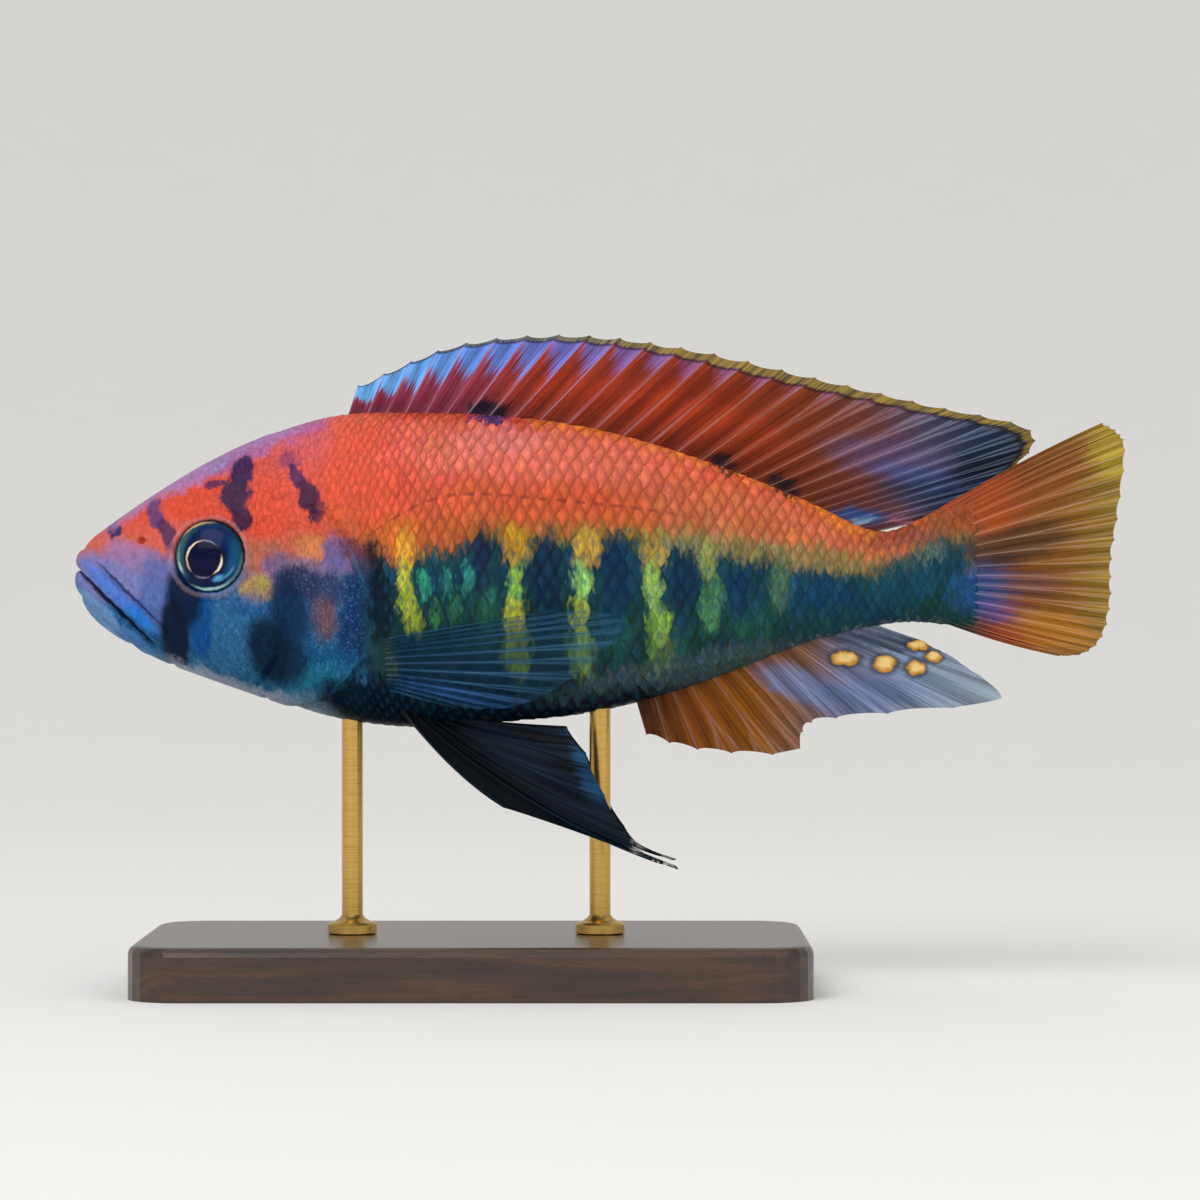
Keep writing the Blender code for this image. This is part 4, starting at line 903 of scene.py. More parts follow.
trunk_places = scale_places(19.0, 103.5, TRUNK_COLUMNS, TRUNK_ROWS, on_trunk)
places = np.vstack((
    trunk_places,
    scale_places(24.0, 34.0, COVER_COLUMNS, COVER_ROWS, on_cover),
    scale_places(13.0, 25.0, CHEEK_COLUMNS, CHEEK_ROWS, on_cheek),
))
on_face = 1 - smooth(places[:, 0], 22, 38)
on_face[len(trunk_places):] = 1
count = len(places)
chance = np.random.default_rng(SCALE_CHANCE)
for word, side in (("left", -1), ("right", 1)):
    s0, share0, column_pitch, row_pitch = (places[:, k][:, None] for k in range(4))
    stray, drift, unlike, askew = chance.uniform(-1, 1, (4, count, 1))
    s0 = s0 + STRAY * stray * column_pitch
    share0 = share0 + DRIFT * drift * row_pitch
    reach = t * (1 - SCALE_POINT * np.abs(w) ** 2 + ASKEW * askew * w)
    s = s0 + SCALE_LENGTH * column_pitch * reach * (1 + UNLIKE * unlike)
    narrow = 1 - SCALE_WAIST * (1 - t) ** 2
    arc0 = share0 * ring_arc(s0, share0 >= 0)
    arc = arc0 + SCALE_HEIGHT / 2 * row_pitch * w * narrow
    share = np.clip(arc / ring_arc(s, arc >= 0), -1, 1)
    s = np.clip(s, RING_S[0], RING_S[-1] - 0.01)
    point, outward = on_skin(s, share)
    crown = SCALE_ROOT + (SCALE_LIFT - SCALE_ROOT) * t + SCALE_CROWN * (1 - w ** 2) * t
    crown = crown * column_pitch / FULL_PITCH
    crown = crown * (1 - 0.45 * on_face[:, None]) * (1 - 0.8 * smooth(s, 96, 101))
    point = point + outward * crown[..., None]
    root, _ = on_skin(s0 + 0.5 * SCALE_LENGTH * column_pitch, np.clip(share0, -1, 1))
    root = np.broadcast_to(root, point.shape).copy()
    point[..., 1] = point[..., 1] * side - swing(point[..., 0])
    root[..., 1] *= side
    faces = (scale_faces[None] + np.arange(count)[:, None, None] * len(t)).reshape(-1, 4)
    if side < 0:
        faces = faces[:, ::-1]
    mesh = bpy.data.meshes.new(f"scales_{word}")
    mesh.from_pydata(to_frame(point.reshape(-1, 3)).tolist(), [], faces.tolist())
    coat = bpy.data.objects.new(f"scales_{word}", mesh)
    bpy.context.scene.collection.objects.link(coat)
    keep_on_points(mesh, "root", "FLOAT_VECTOR", root)
    keep_on_points(mesh, "face", "FLOAT", np.repeat(on_face, len(t)))
    scale_map = np.column_stack((np.tile(t, count), np.tile((w + 1) / 2, count)))
    fill_map(mesh, mesh.uv_layers.new(name="Scale"), scale_map)
    # for the bake, each scale has a small patch of its own, at its place on the unrolled skin
    home = np.column_stack(((s0 / BAKE_LENGTH).ravel(), 0.5 + side * (0.25 + arc0.ravel() / BAKE_ROUND)))
    home = np.repeat(home, len(t), axis=0) + BAKE_PATCH * (scale_map - 0.5)
    fill_map(mesh, mesh.uv_layers.new(name="OFBake"), home)
    bpy.ops.object.select_all(action="DESELECT")
    bpy.context.view_layer.objects.active = coat
    coat.select_set(True)
    wall = coat.modifiers.new("wall", "SOLIDIFY")
    wall.thickness = SCALE_THICKNESS * MM
    wall.offset = -1
    bpy.ops.object.modifier_apply(modifier=wall.name)
    bpy.ops.object.shade_smooth_by_angle(angle=math.radians(50))
    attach(coat, "root")

# Wet scales: bone under clear skin with guanine behind it, so each has a soft gloss and its own
# light. On the red back the pigment is palest mid-scale, and on the dark flank mid-scale is blue.
LATERAL_LINE = (
    # millimetres along the fish, height
    (0, 2), (33, 4.2), (36.3, 6.1), (42.4, 8.8), (44.8, 9.1), (53, 8.6), (67.7, 7.0), (78, 5.0), (120, 5),
)
LINE_PORES_PER_MM = 0.48
BARE_MIDDLE, BARE_HALF = 0.69, 0.31
scale_bone, tree, surface = new_material("wet_scales", {
    "Roughness": 0.4, "Specular IOR Level": 0.04, "Coat Weight": 0.07, "Coat Roughness": 0.14,
})
root = add(tree, "Attribute", {"attribute_name": "root"}, out=1)
face = add(tree, "Attribute", {"attribute_name": "face"}, out=2)
place = object_place(tree)
own_place = add(tree, "MapRange", None, {0: face, 3: 0.68, 4: 0.95})
mixed = add(tree, "Mix", "VECTOR", {0: own_place, 4: root, 5: place}, out=1)
colour = add(tree, "Group", {"node_tree": markings}, (mixed,))
over_border = colour.node.outputs[1]
t_uv = add(tree, "SeparateXYZ", None, (add(tree, "UVMap", {"uv_map": "Scale"}),))
fall = add(tree, "Math", "MULTIPLY_ADD", (t_uv.node.outputs[1], 2.0, -1.0))
fall = add(tree, "Math", "ABSOLUTE", (fall,))
rim = away_from(tree, t_uv, BARE_MIDDLE)
rim = add(tree, "Math", "MULTIPLY_ADD", (rim, 1 / BARE_HALF, fall))
wrinkle = drawn_noise(tree, place, (3.2, 1.6, 1.1), 5.0, 0.65)
rough_rim = add(tree, "Math", "MULTIPLY_ADD", (wrinkle, 1.6, rim))
middle = add(tree, "MapRange", "SMOOTHSTEP", (rough_rim, 1.7, 0.8, 0.86, 1.1))
netted = add(tree, "MapRange", "SMOOTHSTEP", (rough_rim, 1.0, 1.8, 0.96, 1.12))
below = add(tree, "MapRange", "SMOOTHSTEP", (over_border, 1.5, -1.5))
trunk = add(tree, "Math", "SUBTRACT", (1.0, face))
below = add(tree, "Math", "MULTIPLY", (below, trunk))
deep = add(tree, "MapRange", "SMOOTHSTEP", (rough_rim, 1.6, 0.95, 0.0, 0.44))
deep = add(tree, "Math", "MULTIPLY", (deep, below))
colour = add(tree, "Mix", "RGBA", {0: deep, 6: colour, 7: "13465C"}, out=2)
light = add(tree, "Mix", None, {0: below, 2: middle, 3: netted})
own = add(tree, "TexWhiteNoise", {"noise_dimensions": "3D"}, {"Vector": root})
hue = add(tree, "VectorMath", "MULTIPLY_ADD", (own.node.outputs[1], (0.1, 0.3, 0.5), (0.95, 0.87, 0.78)))
toned = add(tree, "VectorMath", "MULTIPLY", (colour, hue))
colour = add(tree, "Mix", "VECTOR", {0: face, 4: toned, 5: colour}, out=1)
spread = add(tree, "Math", "MULTIPLY_ADD", (below, 0.13, 0.15))
own = add(tree, "Math", "MULTIPLY_ADD", (own, 2.0, -1.0))
own = add(tree, "Math", "MULTIPLY_ADD", (own, spread, 1.0))
light = add(tree, "Math", "MULTIPLY", (light, own))
light = add(tree, "Mix", None, {0: face, 2: light, 3: 1.0})
streak = add(tree, "MapRange", None, (wrinkle, 0.3, 0.7, 0.64, 1.34))
light = add(tree, "Math", "MULTIPLY", (light, streak))
colour = add(tree, "VectorMath", "SCALE", {0: colour, "Scale": light})
edge = add(tree, "MapRange", "SMOOTHSTEP", (t_uv, 0.8, 1.0, 0.0, 0.75))
broken = add(tree, "MapRange", None, (wrinkle, 0.38, 0.6, 0.1, 1.0))
edge = add(tree, "Math", "MULTIPLY", (edge, broken))
shown = add(tree, "MapRange", None, {0: face, 3: 1.0, 4: 0.1})
edge = add(tree, "Math", "MULTIPLY", (edge, shown))
darker = add(tree, "VectorMath", "MULTIPLY", (colour, (0.55, 0.36, 0.34)))
colour = add(tree, "Mix", "VECTOR", {0: edge, 4: colour, 5: darker}, out=1)
s_true = add(tree, "SeparateXYZ", None, (place,))
line = outline_height(tree, s_true, LATERAL_LINE)
off_line = away_from(tree, s_true.node.outputs[2], line)
pore = add(tree, "MapRange", "SMOOTHSTEP", (off_line, 0.28, 0.1, 0.0, 0.6))
dash = add(tree, "Math", "MULTIPLY", (s_true, LINE_PORES_PER_MM))
dash = add(tree, "Math", "FRACT", (dash,))
dash = add(tree, "MapRange", None, (dash, 0.3, 0.5))
from_head = add(tree, "MapRange", None, (s_true, 33.5, 35.0))
to_tail = add(tree, "MapRange", None, (s_true, 74.0, 62.0))
for held in (from_head, dash, to_tail):
    pore = add(tree, "Math", "MULTIPLY", (pore, held))
colour = add(tree, "Mix", "RGBA", {0: pore, 6: colour, 7: "7C3028"}, out=2)
tree.links.new(colour, surface["Base Color"])
for name in ("scales_left", "scales_right"):
    put_on(bpy.data.objects[name], scale_bone)

# The eyes: a clear, slightly flattened ball in a ring of skin. The pupil is black, with a thin
# gold ring round it and a dark blue-green iris with silvery patches at its rim.
EYE_SEGMENTS, EYE_RINGS = 96, 48
PUPIL_SHIFT = (-0.36, -0.42)
EYE_STOPS = (
    (0.0, "020634"), (0.38, "02062C"), (0.43, "0C0A1C"), (0.5, "080F34"), (0.6, "041848"), (0.74, "051C46"),
    (0.86, "0C3450"), (0.94, "16383E"), (1.0, "1A2428"),
)
IRIS_ARCS = (
    # colour, angle from the tail side upward, distance, half angle, half width, turn, softness, strength
    ("061F58", 60, 2.8, 60, 1.0, 0, 0.9, 0.7),
    ("0C4E76", -8, 3.1, 40, 0.6, 0, 1.2, 0.8),
    ("34605E", 172, 3.4, 46, 0.5, 0, 1.2, 0.75),
    ("041A38", -118, 3.2, 30, 0.7, 0, 0.9, 0.8),
    ("7CA09C", 186, 3.55, 26, 0.15, 0, 1.2, 0.6),
    ("B4C8C0", 202, 3.5, 10, 0.15, 0, 1.2, 0.75),
    # a gold arc at the upper rim of the iris: the iris's gold with a painted highlight
    ("D8A878", 114, 3.8, 26, 0.15, 0, 1.2, 0.75),
    ("A8D0CC", -82, 3.8, 32, 0.14, 0, 1.2, 0.85),
    ("5E8088", -28, 3.8, 30, 0.16, 0, 0.9, 0.6),
    ("5AA4DC", -64, 2.9, 12, 0.27, 0, 1.3, 0.85),
    ("4E90B8", -42, 3.2, 18, 0.14, 0, 1.2, 0.7),
)
PUPIL_ARCS = (
    ("E4CDB0", 146, 2.05, 46, 0.13, 0, 1.1, 1.0),
    ("C4A090", 196, 2.05, 24, 0.12, 0, 1.1, 0.9),
    ("E8DCC4", -24, 2.05, 28, 0.14, 0, 1.1, 1.0),
    ("8C7CA0", -96, 2.15, 22, 0.12, 0, 1.1, 0.55),
    ("7882A8", 76, 2.05, 26, 0.11, 0, 1.1, 0.75),
)
EYE_WRAP = (-130, 230)


def round_place(tree, place, centre):
    """Angle in degrees and distance round a centre, as the first and last part of a place."""
    off = add(tree, "VectorMath", "SUBTRACT", (place, centre))
    x = add(tree, "SeparateXYZ", None, (off,))
    angle = add(tree, "Math", "ARCTAN2", (x.node.outputs[2], x))
    angle = add(tree, "Math", "DEGREES", (angle,))
    angle = add(tree, "Math", "WRAP", (angle, EYE_WRAP[1], EYE_WRAP[0]))
    reach = add(tree, "VectorMath", "LENGTH", (off,), out=1)
    return add(tree, "CombineXYZ", None, {0: angle, 2: reach}), reach


# Clear cornea: a wet, glassy film over the iris, so it mirrors the lights sharply. The colours lie
# on the same ball, in arcs round the pupil and round the eye.
eye_glass, tree, surface = new_material("clear_cornea", {
    "Roughness": 0.3, "Specular IOR Level": 0.05,
    "Coat Weight": 0.2, "Coat IOR": 1.36, "Coat Roughness": 0.03,
})
local = add(tree, "Attribute", {"attribute_name": "eye_place"}, out=1)
ripple = add(tree, "TexNoise", None, {"Vector": local, "Scale": 1.6, "Detail": 3.0}, out=1)
rough_place = waver(tree, local, ripple, (0.3, 0, 0.3))
around_pupil, reach = round_place(tree, rough_place, (PUPIL_SHIFT[0], 0, PUPIL_SHIFT[1]))
around_eye, _ = round_place(tree, rough_place, (0, 0, 0))
share = add(tree, "Math", "DIVIDE", (reach, EYE_SIZE[0]))
colour = add(tree, "ValToRGB", {"stops": EYE_STOPS}, (share,))
fibre = drawn_noise(tree, around_eye, (0.12, 1.0, 0.8), 4.0)
dim = add(tree, "MapRange", None, (fibre, 0.35, 0.65, 0.7, 1.3))
colour = add(tree, "VectorMath", "SCALE", {0: colour, "Scale": dim})
colour = paint_marks(tree, colour, around_eye, IRIS_ARCS)
colour = paint_marks(tree, colour, around_pupil, PUPIL_ARCS)
tree.links.new(colour, surface["Base Color"])
for word, side in (("left", -1), ("right", 1)):
    bpy.ops.object.select_all(action="DESELECT")
    bpy.ops.mesh.primitive_uv_sphere_add(
        segments=EYE_SEGMENTS, ring_count=EYE_RINGS, radius=1, rotation=(math.pi / 2, 0, 0),
    )
    ball = bpy.context.object
    ball.name = ball.data.name = f"eye_{word}_ball"
    bpy.ops.object.transform_apply(location=False, rotation=True, scale=False)
    local = np.array([vertex.co[:] for vertex in ball.data.vertices]) * EYE_SIZE
    keep_on_points(ball.data, "eye_place", "FLOAT_VECTOR", local * (1, 0, 1))
    turned = local @ np.array(eye_turn(side)).T
    lay(ball, turned + (EYE_CENTRE[0], side * EYE_CENTRE[1], EYE_CENTRE[2]))
    bpy.ops.object.shade_smooth()
    put_on(ball, eye_glass)
    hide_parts(f"eye_{word}")
    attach(ball, "root")

# The fins: a thin web of skin stretched over bony rays. Spines in the front of the dorsal and anal
# fin are single, and soft rays fork twice toward the edge. Each is one web with its rays raised in it.
FIN_ROWS = 56
FIN_SINK = 0.35
WEB = 0.09
WEB_EDGE = 0.05
RAY_HEIGHT = 0.16
RAY_WIDTH = 0.16
# where the soft rays fork, by their length, and how far the branches spread, by the rays' spacing
FORKS = ((0.3, 0.22), (0.65, 0.1))
FORK_END = 1.05
BILLOW = 0.12
SCALLOP, SMALL_SCALLOP = 0.45, 0.3


def even_rays(control, count):
    """Evenly spread places for a count of rays, counted in control rows."""
    return np.linspace(0, len(control) - 1, count)


def ray_spread(control, places, per_ray):
    """Control rows spread over fine columns, with each column's ray number."""
    ray = np.linspace(0, len(places) - 1, (len(places) - 1) * per_ray + 1)
    at = np.interp(ray, np.arange(len(places)), places)
    return catmull(control, at), ray


def fin_sheet(roots, tips, ray, scallop=SCALLOP):
    """Straight rays from roots to tips, the web's edge drawn back a little between them."""
    reach = np.linalg.norm(tips - roots, axis=1)
    between = (4 * (ray % 1) * (1 - ray % 1)) ** 0.7
    share = 1 - scallop * between / reach
    v = np.linspace(0, 1, FIN_ROWS)[:, None, None]
    return roots + (tips - roots) * share[:, None] * v


def raise_rays(ray, v, soft_from, stout):
    """Half thickness of a fin at each row and column, its rays raised above the web."""
    near = np.abs((ray + 0.5) % 1 - 0.5)[None, :]
    number = np.rint(ray)[None, :]
    soft = number >= soft_from
    ridge = hump(near, RAY_WIDTH * (1 - 0.45 * v))
    first, second = (spread * smooth(v, start, FORK_END) for start, spread in FORKS)
    branched = np.zeros((v.shape[0], near.shape[1]))
    for offset in (first - second, first + second):
        branched = np.maximum(branched, hump(near - offset, RAY_WIDTH * (1 - 0.6 * v)))
    ridge = np.where(soft, branched, ridge)
    web = WEB + (WEB_EDGE - WEB) * v
    flare = stout * np.clip(1 - v / 0.25, 0, 1) ** 2
    return web + flare + RAY_HEIGHT * (1 - 0.55 * v) * ridge


def make_fin(name, grid, ray, soft_from, stout, material, node):
    """Build one fin from its sheet of points: a web with rays, closed all round."""
    rows, columns = grid.shape[:2]
    v = np.linspace(0, 1, rows)[:, None]
    along, across = np.gradient(grid, axis=0), np.gradient(grid, axis=1)
    normal = np.cross(along, across)
    normal /= np.linalg.norm(normal, axis=-1, keepdims=True)
    way = np.where(np.floor(ray) % 2 == 0, 1, -1)
    wave = way * np.sin(math.pi * (ray % 1)) ** 2
    grid = grid + normal * (BILLOW * wave * smooth(v, 0.1, 0.6))[..., None]
    half = raise_rays(ray, v, soft_from, stout)
    piece, row, column = add_grid(name, rows, columns)
    lay(piece, grid[row, column])
    thick = half[row, column]
    most = float(thick.max())
    group = piece.vertex_groups.new(name="thickness")
    for index, value in enumerate(thick / most):
        group.add((index,), float(value), "REPLACE")
    layer = piece.data.uv_layers[0]
    layer.name = "Rays"
    fill_map(piece.data, layer, np.column_stack((ray[column], row / (rows - 1))))
    wall = piece.modifiers.new("wall", "SOLIDIFY")
    wall.thickness = 2 * most * MM
    wall.offset = 0
    wall.vertex_group = group.name
    bpy.ops.object.modifier_apply(modifier=wall.name)
    piece.vertex_groups.clear()
    bpy.ops.object.mode_set(mode="EDIT")
    face_outward()
    bpy.ops.object.shade_smooth_by_angle(angle=math.radians(60))
    put_on(piece, material)
    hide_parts(node)
    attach(piece, "root")


def fin_skin(name, stops, marks, drag):
    """Fin skin, wet and thin: colours along the fish and marks, both dragged unevenly along the rays."""
    material, tree, surface = new_material(name, {
        "Roughness": 0.45, "Specular IOR Level": 0.06, "Coat Weight": 0.04, "Coat Roughness": 0.2,
    })
    place = object_place(tree)
    rays = add(tree, "UVMap", {"uv_map": "Rays"})
    u = add(tree, "SeparateXYZ", None, (rays,))
    fibre = drawn_noise(tree, rays, (11.0, 1.3, 1.0), 4.0)
    pull = add(tree, "Math", "SUBTRACT", (fibre, 0.5))
    pull = add(tree, "VectorMath", "SCALE", {0: (drag[0], 0, drag[1]), "Scale": pull})
    ripple = add(tree, "TexNoise", None, {"Vector": place, "Scale": 0.7, "Detail": 3.0}, out=1)
    jitter = waver(tree, place, ripple, (1.6, 0, 1.6))
    jitter = add(tree, "VectorMath", "ADD", (jitter, pull))
    colour = ramp_over(tree, add(tree, "SeparateXYZ", None, (jitter,)), stops)
    colour = paint_marks(tree, colour, jitter, marks)
    phase = add(tree, "Math", "ADD", (u, 0.5))
    phase = add(tree, "Math", "FRACT", (phase,))
    near = away_from(tree, phase, 0.5)
    return material, tree, surface, colour, (u, u.node.outputs[1], near, fibre)


def draw_rays(tree, colour, rays, pale, strength, soft_from):
    """Pale rays, forking where the ridges do, with darker web between them and fibres along them."""
    u, v, near, fibre = rays
    web = add(tree, "MapRange", "SMOOTHSTEP", (near, 0.1, 0.42, 1.15, 0.72))
    colour = add(tree, "VectorMath", "SCALE", {0: colour, "Scale": web})
    dark = add(tree, "MapRange", "SMOOTHSTEP", (fibre, 0.58, 0.36, 1.1, 0.66))
    colour = add(tree, "VectorMath", "SCALE", {0: colour, "Scale": dark})
    soft = add(tree, "Math", "GREATER_THAN", (u, soft_from))
    branch = near
    for start, spread in FORKS:
        fork = add(tree, "MapRange", "SMOOTHSTEP", (v, start, FORK_END, 0.0, spread))
        fork = add(tree, "Math", "MULTIPLY", (fork, soft))
        branch = away_from(tree, branch, fork)
    line = add(tree, "MapRange", "SMOOTHSTEP", (branch, 0.085, 0.015))
    fade = add(tree, "MapRange", None, (fibre, 0.38, 0.6, 0.3 * strength, strength))
    line = add(tree, "Math", "MULTIPLY", (line, fade))
    return add(tree, "Mix", "RGBA", {0: line, 6: colour, 7: pale}, out=2)


# The dorsal fin: a sail of skin on sixteen hard spines and fourteen forked soft rays, each hinged on
# a bone in the back. Its red web turns violet and blue in front, under a golden edge.
DORSAL_RAYS = (
    # root along the fish, and its tip: along the fish, to the side, height
    (31.2, 32.3, 0.1, 21.7),
    (39.4, 43.9, 0.4, 26.4),
    (48.6, 57.1, 0.7, 27.5),
    (60.0, 70.3, 0.5, 25.9),
    (71.4, 84.6, 0.2, 22.6),
    (78.3, 97.7, 0.6, 19.5),
    (84.0, 109.4, 1.0, 16.6),
    (87.4, 106.9, 0.8, 11.8),
    (90.6, 97.6, -0.4, 6.2),
)
DORSAL_PLACES = np.concatenate((np.linspace(0.0, 4.0, 16), np.linspace(4.28, 8.0, 14)))
DORSAL_STOPS = (
    (30, "843048"), (36, "8A3048"), (44, "8C3248"), (53, "8E3020"), (60, "8A301C"), (72, "822C12"),
    (84, "783418"), (91, "6A3A34"), (97, "4C445C"), (103, "22304C"), (110, "16242E"),
)
DORSAL_MARKS = (
    ("A03618", 62, 19.5, 12, 3.0, -8, 0.9, 0.6),
    ("9A3618", 74, 16.6, 8, 2.6, -16, 0.8, 0.6),
    ("160E28", 47.2, 18.9, 2.4, 1.0, 0, 0.5, 0.95),
    ("1E1420", 73.9, 12.9, 1.9, 0.9, -24, 0.5, 0.9),
    ("1E1420", 81.0, 10.2, 1.9, 0.9, -26, 0.5, 0.9),
    ("564A70", 93.0, 13.6, 7.0, 2.0, -8, 0.9, 0.6),
    ("3A5088", 97.0, 11.2, 6.0, 1.2, -12, 0.9, 0.6),
    ("14304E", 99.0, 9.0, 7.0, 1.4, -10, 0.9, 0.7),
    ("2C5CA0", 89.5, 6.8, 3.0, 0.8, -6, 0.8, 0.9),
    ("9CC0E4", 89.8, 6.1, 1.3, 0.35, 8, 0.8, 0.9),
    ("B06A78", 94.5, 6.3, 1.6, 0.5, -18, 0.8, 0.8),
    ("101C28", 104.0, 12.4, 4.5, 1.6, 20, 0.9, 0.8),
)
DORSAL_BLUES = (
    (30, "6CB4F0"), (38, "62A4EA"), (46, "5A86D8"), (54, "6270C4"), (62, "7C62A8"), (72, "8A5078"),
)
DORSAL_RAY_STOPS = ((30, "B4A4C4"), (58, "A8849A"), (74, "A8806C"), (90, "A0868C"), (102, "8C9CB4"))
DORSAL_MARGIN = (
    # share of the fin's rays, and where the edge begins by their length
    (0.0, 0.985), (0.1, 0.975), (0.3, 0.94), (0.48, 0.91), (0.6, 0.93), (0.85, 0.965), (1.0, 0.99),
)
DORSAL_GOLD = ((0.36, "4E4A34"), (0.48, "7C6A3A"), (0.62, "A68A40"))
DORSAL_SOFT = 15.5
dorsal_web, tree, surface, colour, rays = fin_skin("dorsal_web", DORSAL_STOPS, DORSAL_MARKS, (4.0, 4.0))
u, v, near, fibre = rays
# behind each spine the web is red, and before the next one it turns violet and blue, most of all up high
s_place = add(tree, "SeparateXYZ", None, (object_place(tree),))
blue = ramp_over(tree, s_place, DORSAL_BLUES)
behind = add(tree, "Math", "FRACT", (u,))
high = add(tree, "Math", "MULTIPLY_ADD", (behind, 0.4, v))
high = add(tree, "Math", "MULTIPLY_ADD", (fibre, 0.7, high))
high = add(tree, "Math", "MULTIPLY_ADD", (u, -0.035, high))
blues = add(tree, "MapRange", "SMOOTHSTEP", (high, 0.92, 1.12, 0.0, 0.95))
colour = add(tree, "Mix", "RGBA", {0: blues, 6: colour, 7: blue}, out=2)
base_shade = add(tree, "MapRange", "SMOOTHSTEP", (v, 0.05, 0.5, 0.68, 1.06))
colour = add(tree, "VectorMath", "SCALE", {0: colour, "Scale": base_shade})
pale = ramp_over(tree, s_place, DORSAL_RAY_STOPS)
colour = draw_rays(tree, colour, rays, pale, 0.42, DORSAL_SOFT)
# margin: a thin teal line in front that widens into golden lappets, with a dark line below it
share = add(tree, "Math", "DIVIDE", (u, len(DORSAL_PLACES) - 1))
rim = add(tree, "FloatCurve", {"points": DORSAL_MARGIN}, {"Value": share})
low = add(tree, "Math", "SUBTRACT", (rim, 0.03))
wavy = add(tree, "Math", "MULTIPLY_ADD", (fibre, 0.05, v))
golden = add(tree, "ValToRGB", {"stops": DORSAL_GOLD}, (fibre,))
for start, code, strength in ((low, "241A20", 0.75), (rim, golden, 0.9)):
    over = add(tree, "Math", "SUBTRACT", (wavy, start))
    over = add(tree, "MapRange", "SMOOTHSTEP", (over, 0.02, 0.045, 0.0, strength))
    colour = add(tree, "Mix", "RGBA", {0: over, 6: colour, 7: code}, out=2)
front = add(tree, "MapRange", "SMOOTHSTEP", (u, 11.0, 4.0, 0.0, 0.75))
front = add(tree, "Math", "MULTIPLY", (front, over))
colour = add(tree, "Mix", "RGBA", {0: front, 6: colour, 7: "3E6478"}, out=2)
tree.links.new(colour, surface["Base Color"])
rows, ray = ray_spread(DORSAL_RAYS, DORSAL_PLACES, 14)
s = rows[:, 0]
roots = np.column_stack((s, -swing(s), profile(s)[0] - FIN_SINK))
grid = fin_sheet(roots, rows[:, 1:4], ray)
make_fin("dorsal_web", grid, ray, DORSAL_SOFT, 0.25, dorsal_web, "dorsal_fin")

# The tail fin: a fan of twenty-one rays on the flat bones at the end of the spine. The skin and the
# scales of the tail stalk run out over its root, and its web is orange-brown with an olive edge.
CAUDAL_ROOT_S = 98.6
CAUDAL_ROOT_CLOSE = 0.94
CAUDAL_RAYS = (
    # height of the root, and the tip: along the fish, height, and how far the ray bows upward
    (8.0, 116.8, 17.2, 0.4),
    (6.8, 118.5, 16.1, 0.4),
    (5.4, 119.3, 14.1, 0.3),
    (3.0, 118.6, 7.5, 0.2),
    (0.8, 117.8, 1.8, 0.0),
    (-1.3, 117.7, -3.0, 0.0),
    (-3.3, 116.8, -7.0, -0.1),
    (-4.7, 114.8, -8.9, -0.2),
    (-5.6, 111.9, -9.2, -0.3),
)
CAUDAL_COUNT = 21
CAUDAL_STOPS = (
    (97, "1C4C56"), (100, "5A4A48"), (103, "844428"), (107, "80461E"), (112, "845420"), (116, "8C6A26"),
    (120, "94802E"),
)
CAUDAL_MARKS = (
    ("A84E34", 99.5, 6.8, 3.4, 2.0, 35, 0.8, 0.85),
    ("B4541E", 104.5, 7.6, 4.6, 3.0, 35, 0.9, 0.75),
    ("8C4E26", 111, 11.0, 6.0, 2.4, 35, 0.9, 0.7),
    ("4A3824", 107.5, 3.4, 5.6, 2.2, 16, 0.9, 0.75),
    ("3A2A28", 104.5, 1.4, 3.0, 0.9, 8, 0.9, 0.7),
    ("6A4A50", 107.5, -1.0, 4.5, 1.4, 0, 0.9, 0.6),
    ("84506A", 106.0, -4.4, 3.4, 1.4, -12, 0.9, 0.6),
    ("2C5696", 103.6, -1.4, 2.6, 2.6, 0, 1.0, 0.7),
    ("5A5096", 104.2, -4.0, 2.4, 1.2, -20, 0.9, 0.6),
    ("A8482C", 106.5, -6.8, 4.0, 1.0, -12, 0.9, 0.7),
    ("B4761E", 111.5, -6.4, 4.5, 2.2, -12, 0.9, 0.75),
    ("B49C28", 117.6, 14.2, 2.2, 3.4, 10, 1.0, 0.75),
    ("1A4A56", 98.6, 1.0, 2.4, 3.2, 0, 0.8, 0.85),
)
caudal_web, tree, surface, colour, rays = fin_skin("caudal_web", CAUDAL_STOPS, CAUDAL_MARKS, (9.0, 0.0))
body = add(tree, "Group", {"node_tree": markings}, (object_place(tree),))
s_place = add(tree, "SeparateXYZ", None, (object_place(tree),))
ragged = add(tree, "Math", "MULTIPLY_ADD", (rays[3], 8.0, s_place))
off_body = add(tree, "MapRange", "SMOOTHSTEP", (ragged, 104.0, 110.0))
colour = add(tree, "Mix", "RGBA", {0: off_body, 6: body, 7: colour}, out=2)
colour = draw_rays(tree, colour, rays, "B4947C", 0.42, 0.5)
tree.links.new(colour, surface["Base Color"])
rows, ray = ray_spread(CAUDAL_RAYS, even_rays(CAUDAL_RAYS, CAUDAL_COUNT), 16)
none = np.zeros(len(rows))
roots = np.column_stack((none + CAUDAL_ROOT_S, none, rows[:, 0] * CAUDAL_ROOT_CLOSE))
grid = fin_sheet(roots, np.column_stack((rows[:, 1], none, rows[:, 2])), ray, SMALL_SCALLOP)
v_rows = np.linspace(0, 1, FIN_ROWS)[:, None]
grid[..., 2] += rows[:, 3] * 4 * v_rows * (1 - v_rows)
grid[..., 1] -= swing(grid[..., 0])
make_fin("caudal_web", grid, ray, 1.5, 0.7, caudal_web, "caudal_fin")

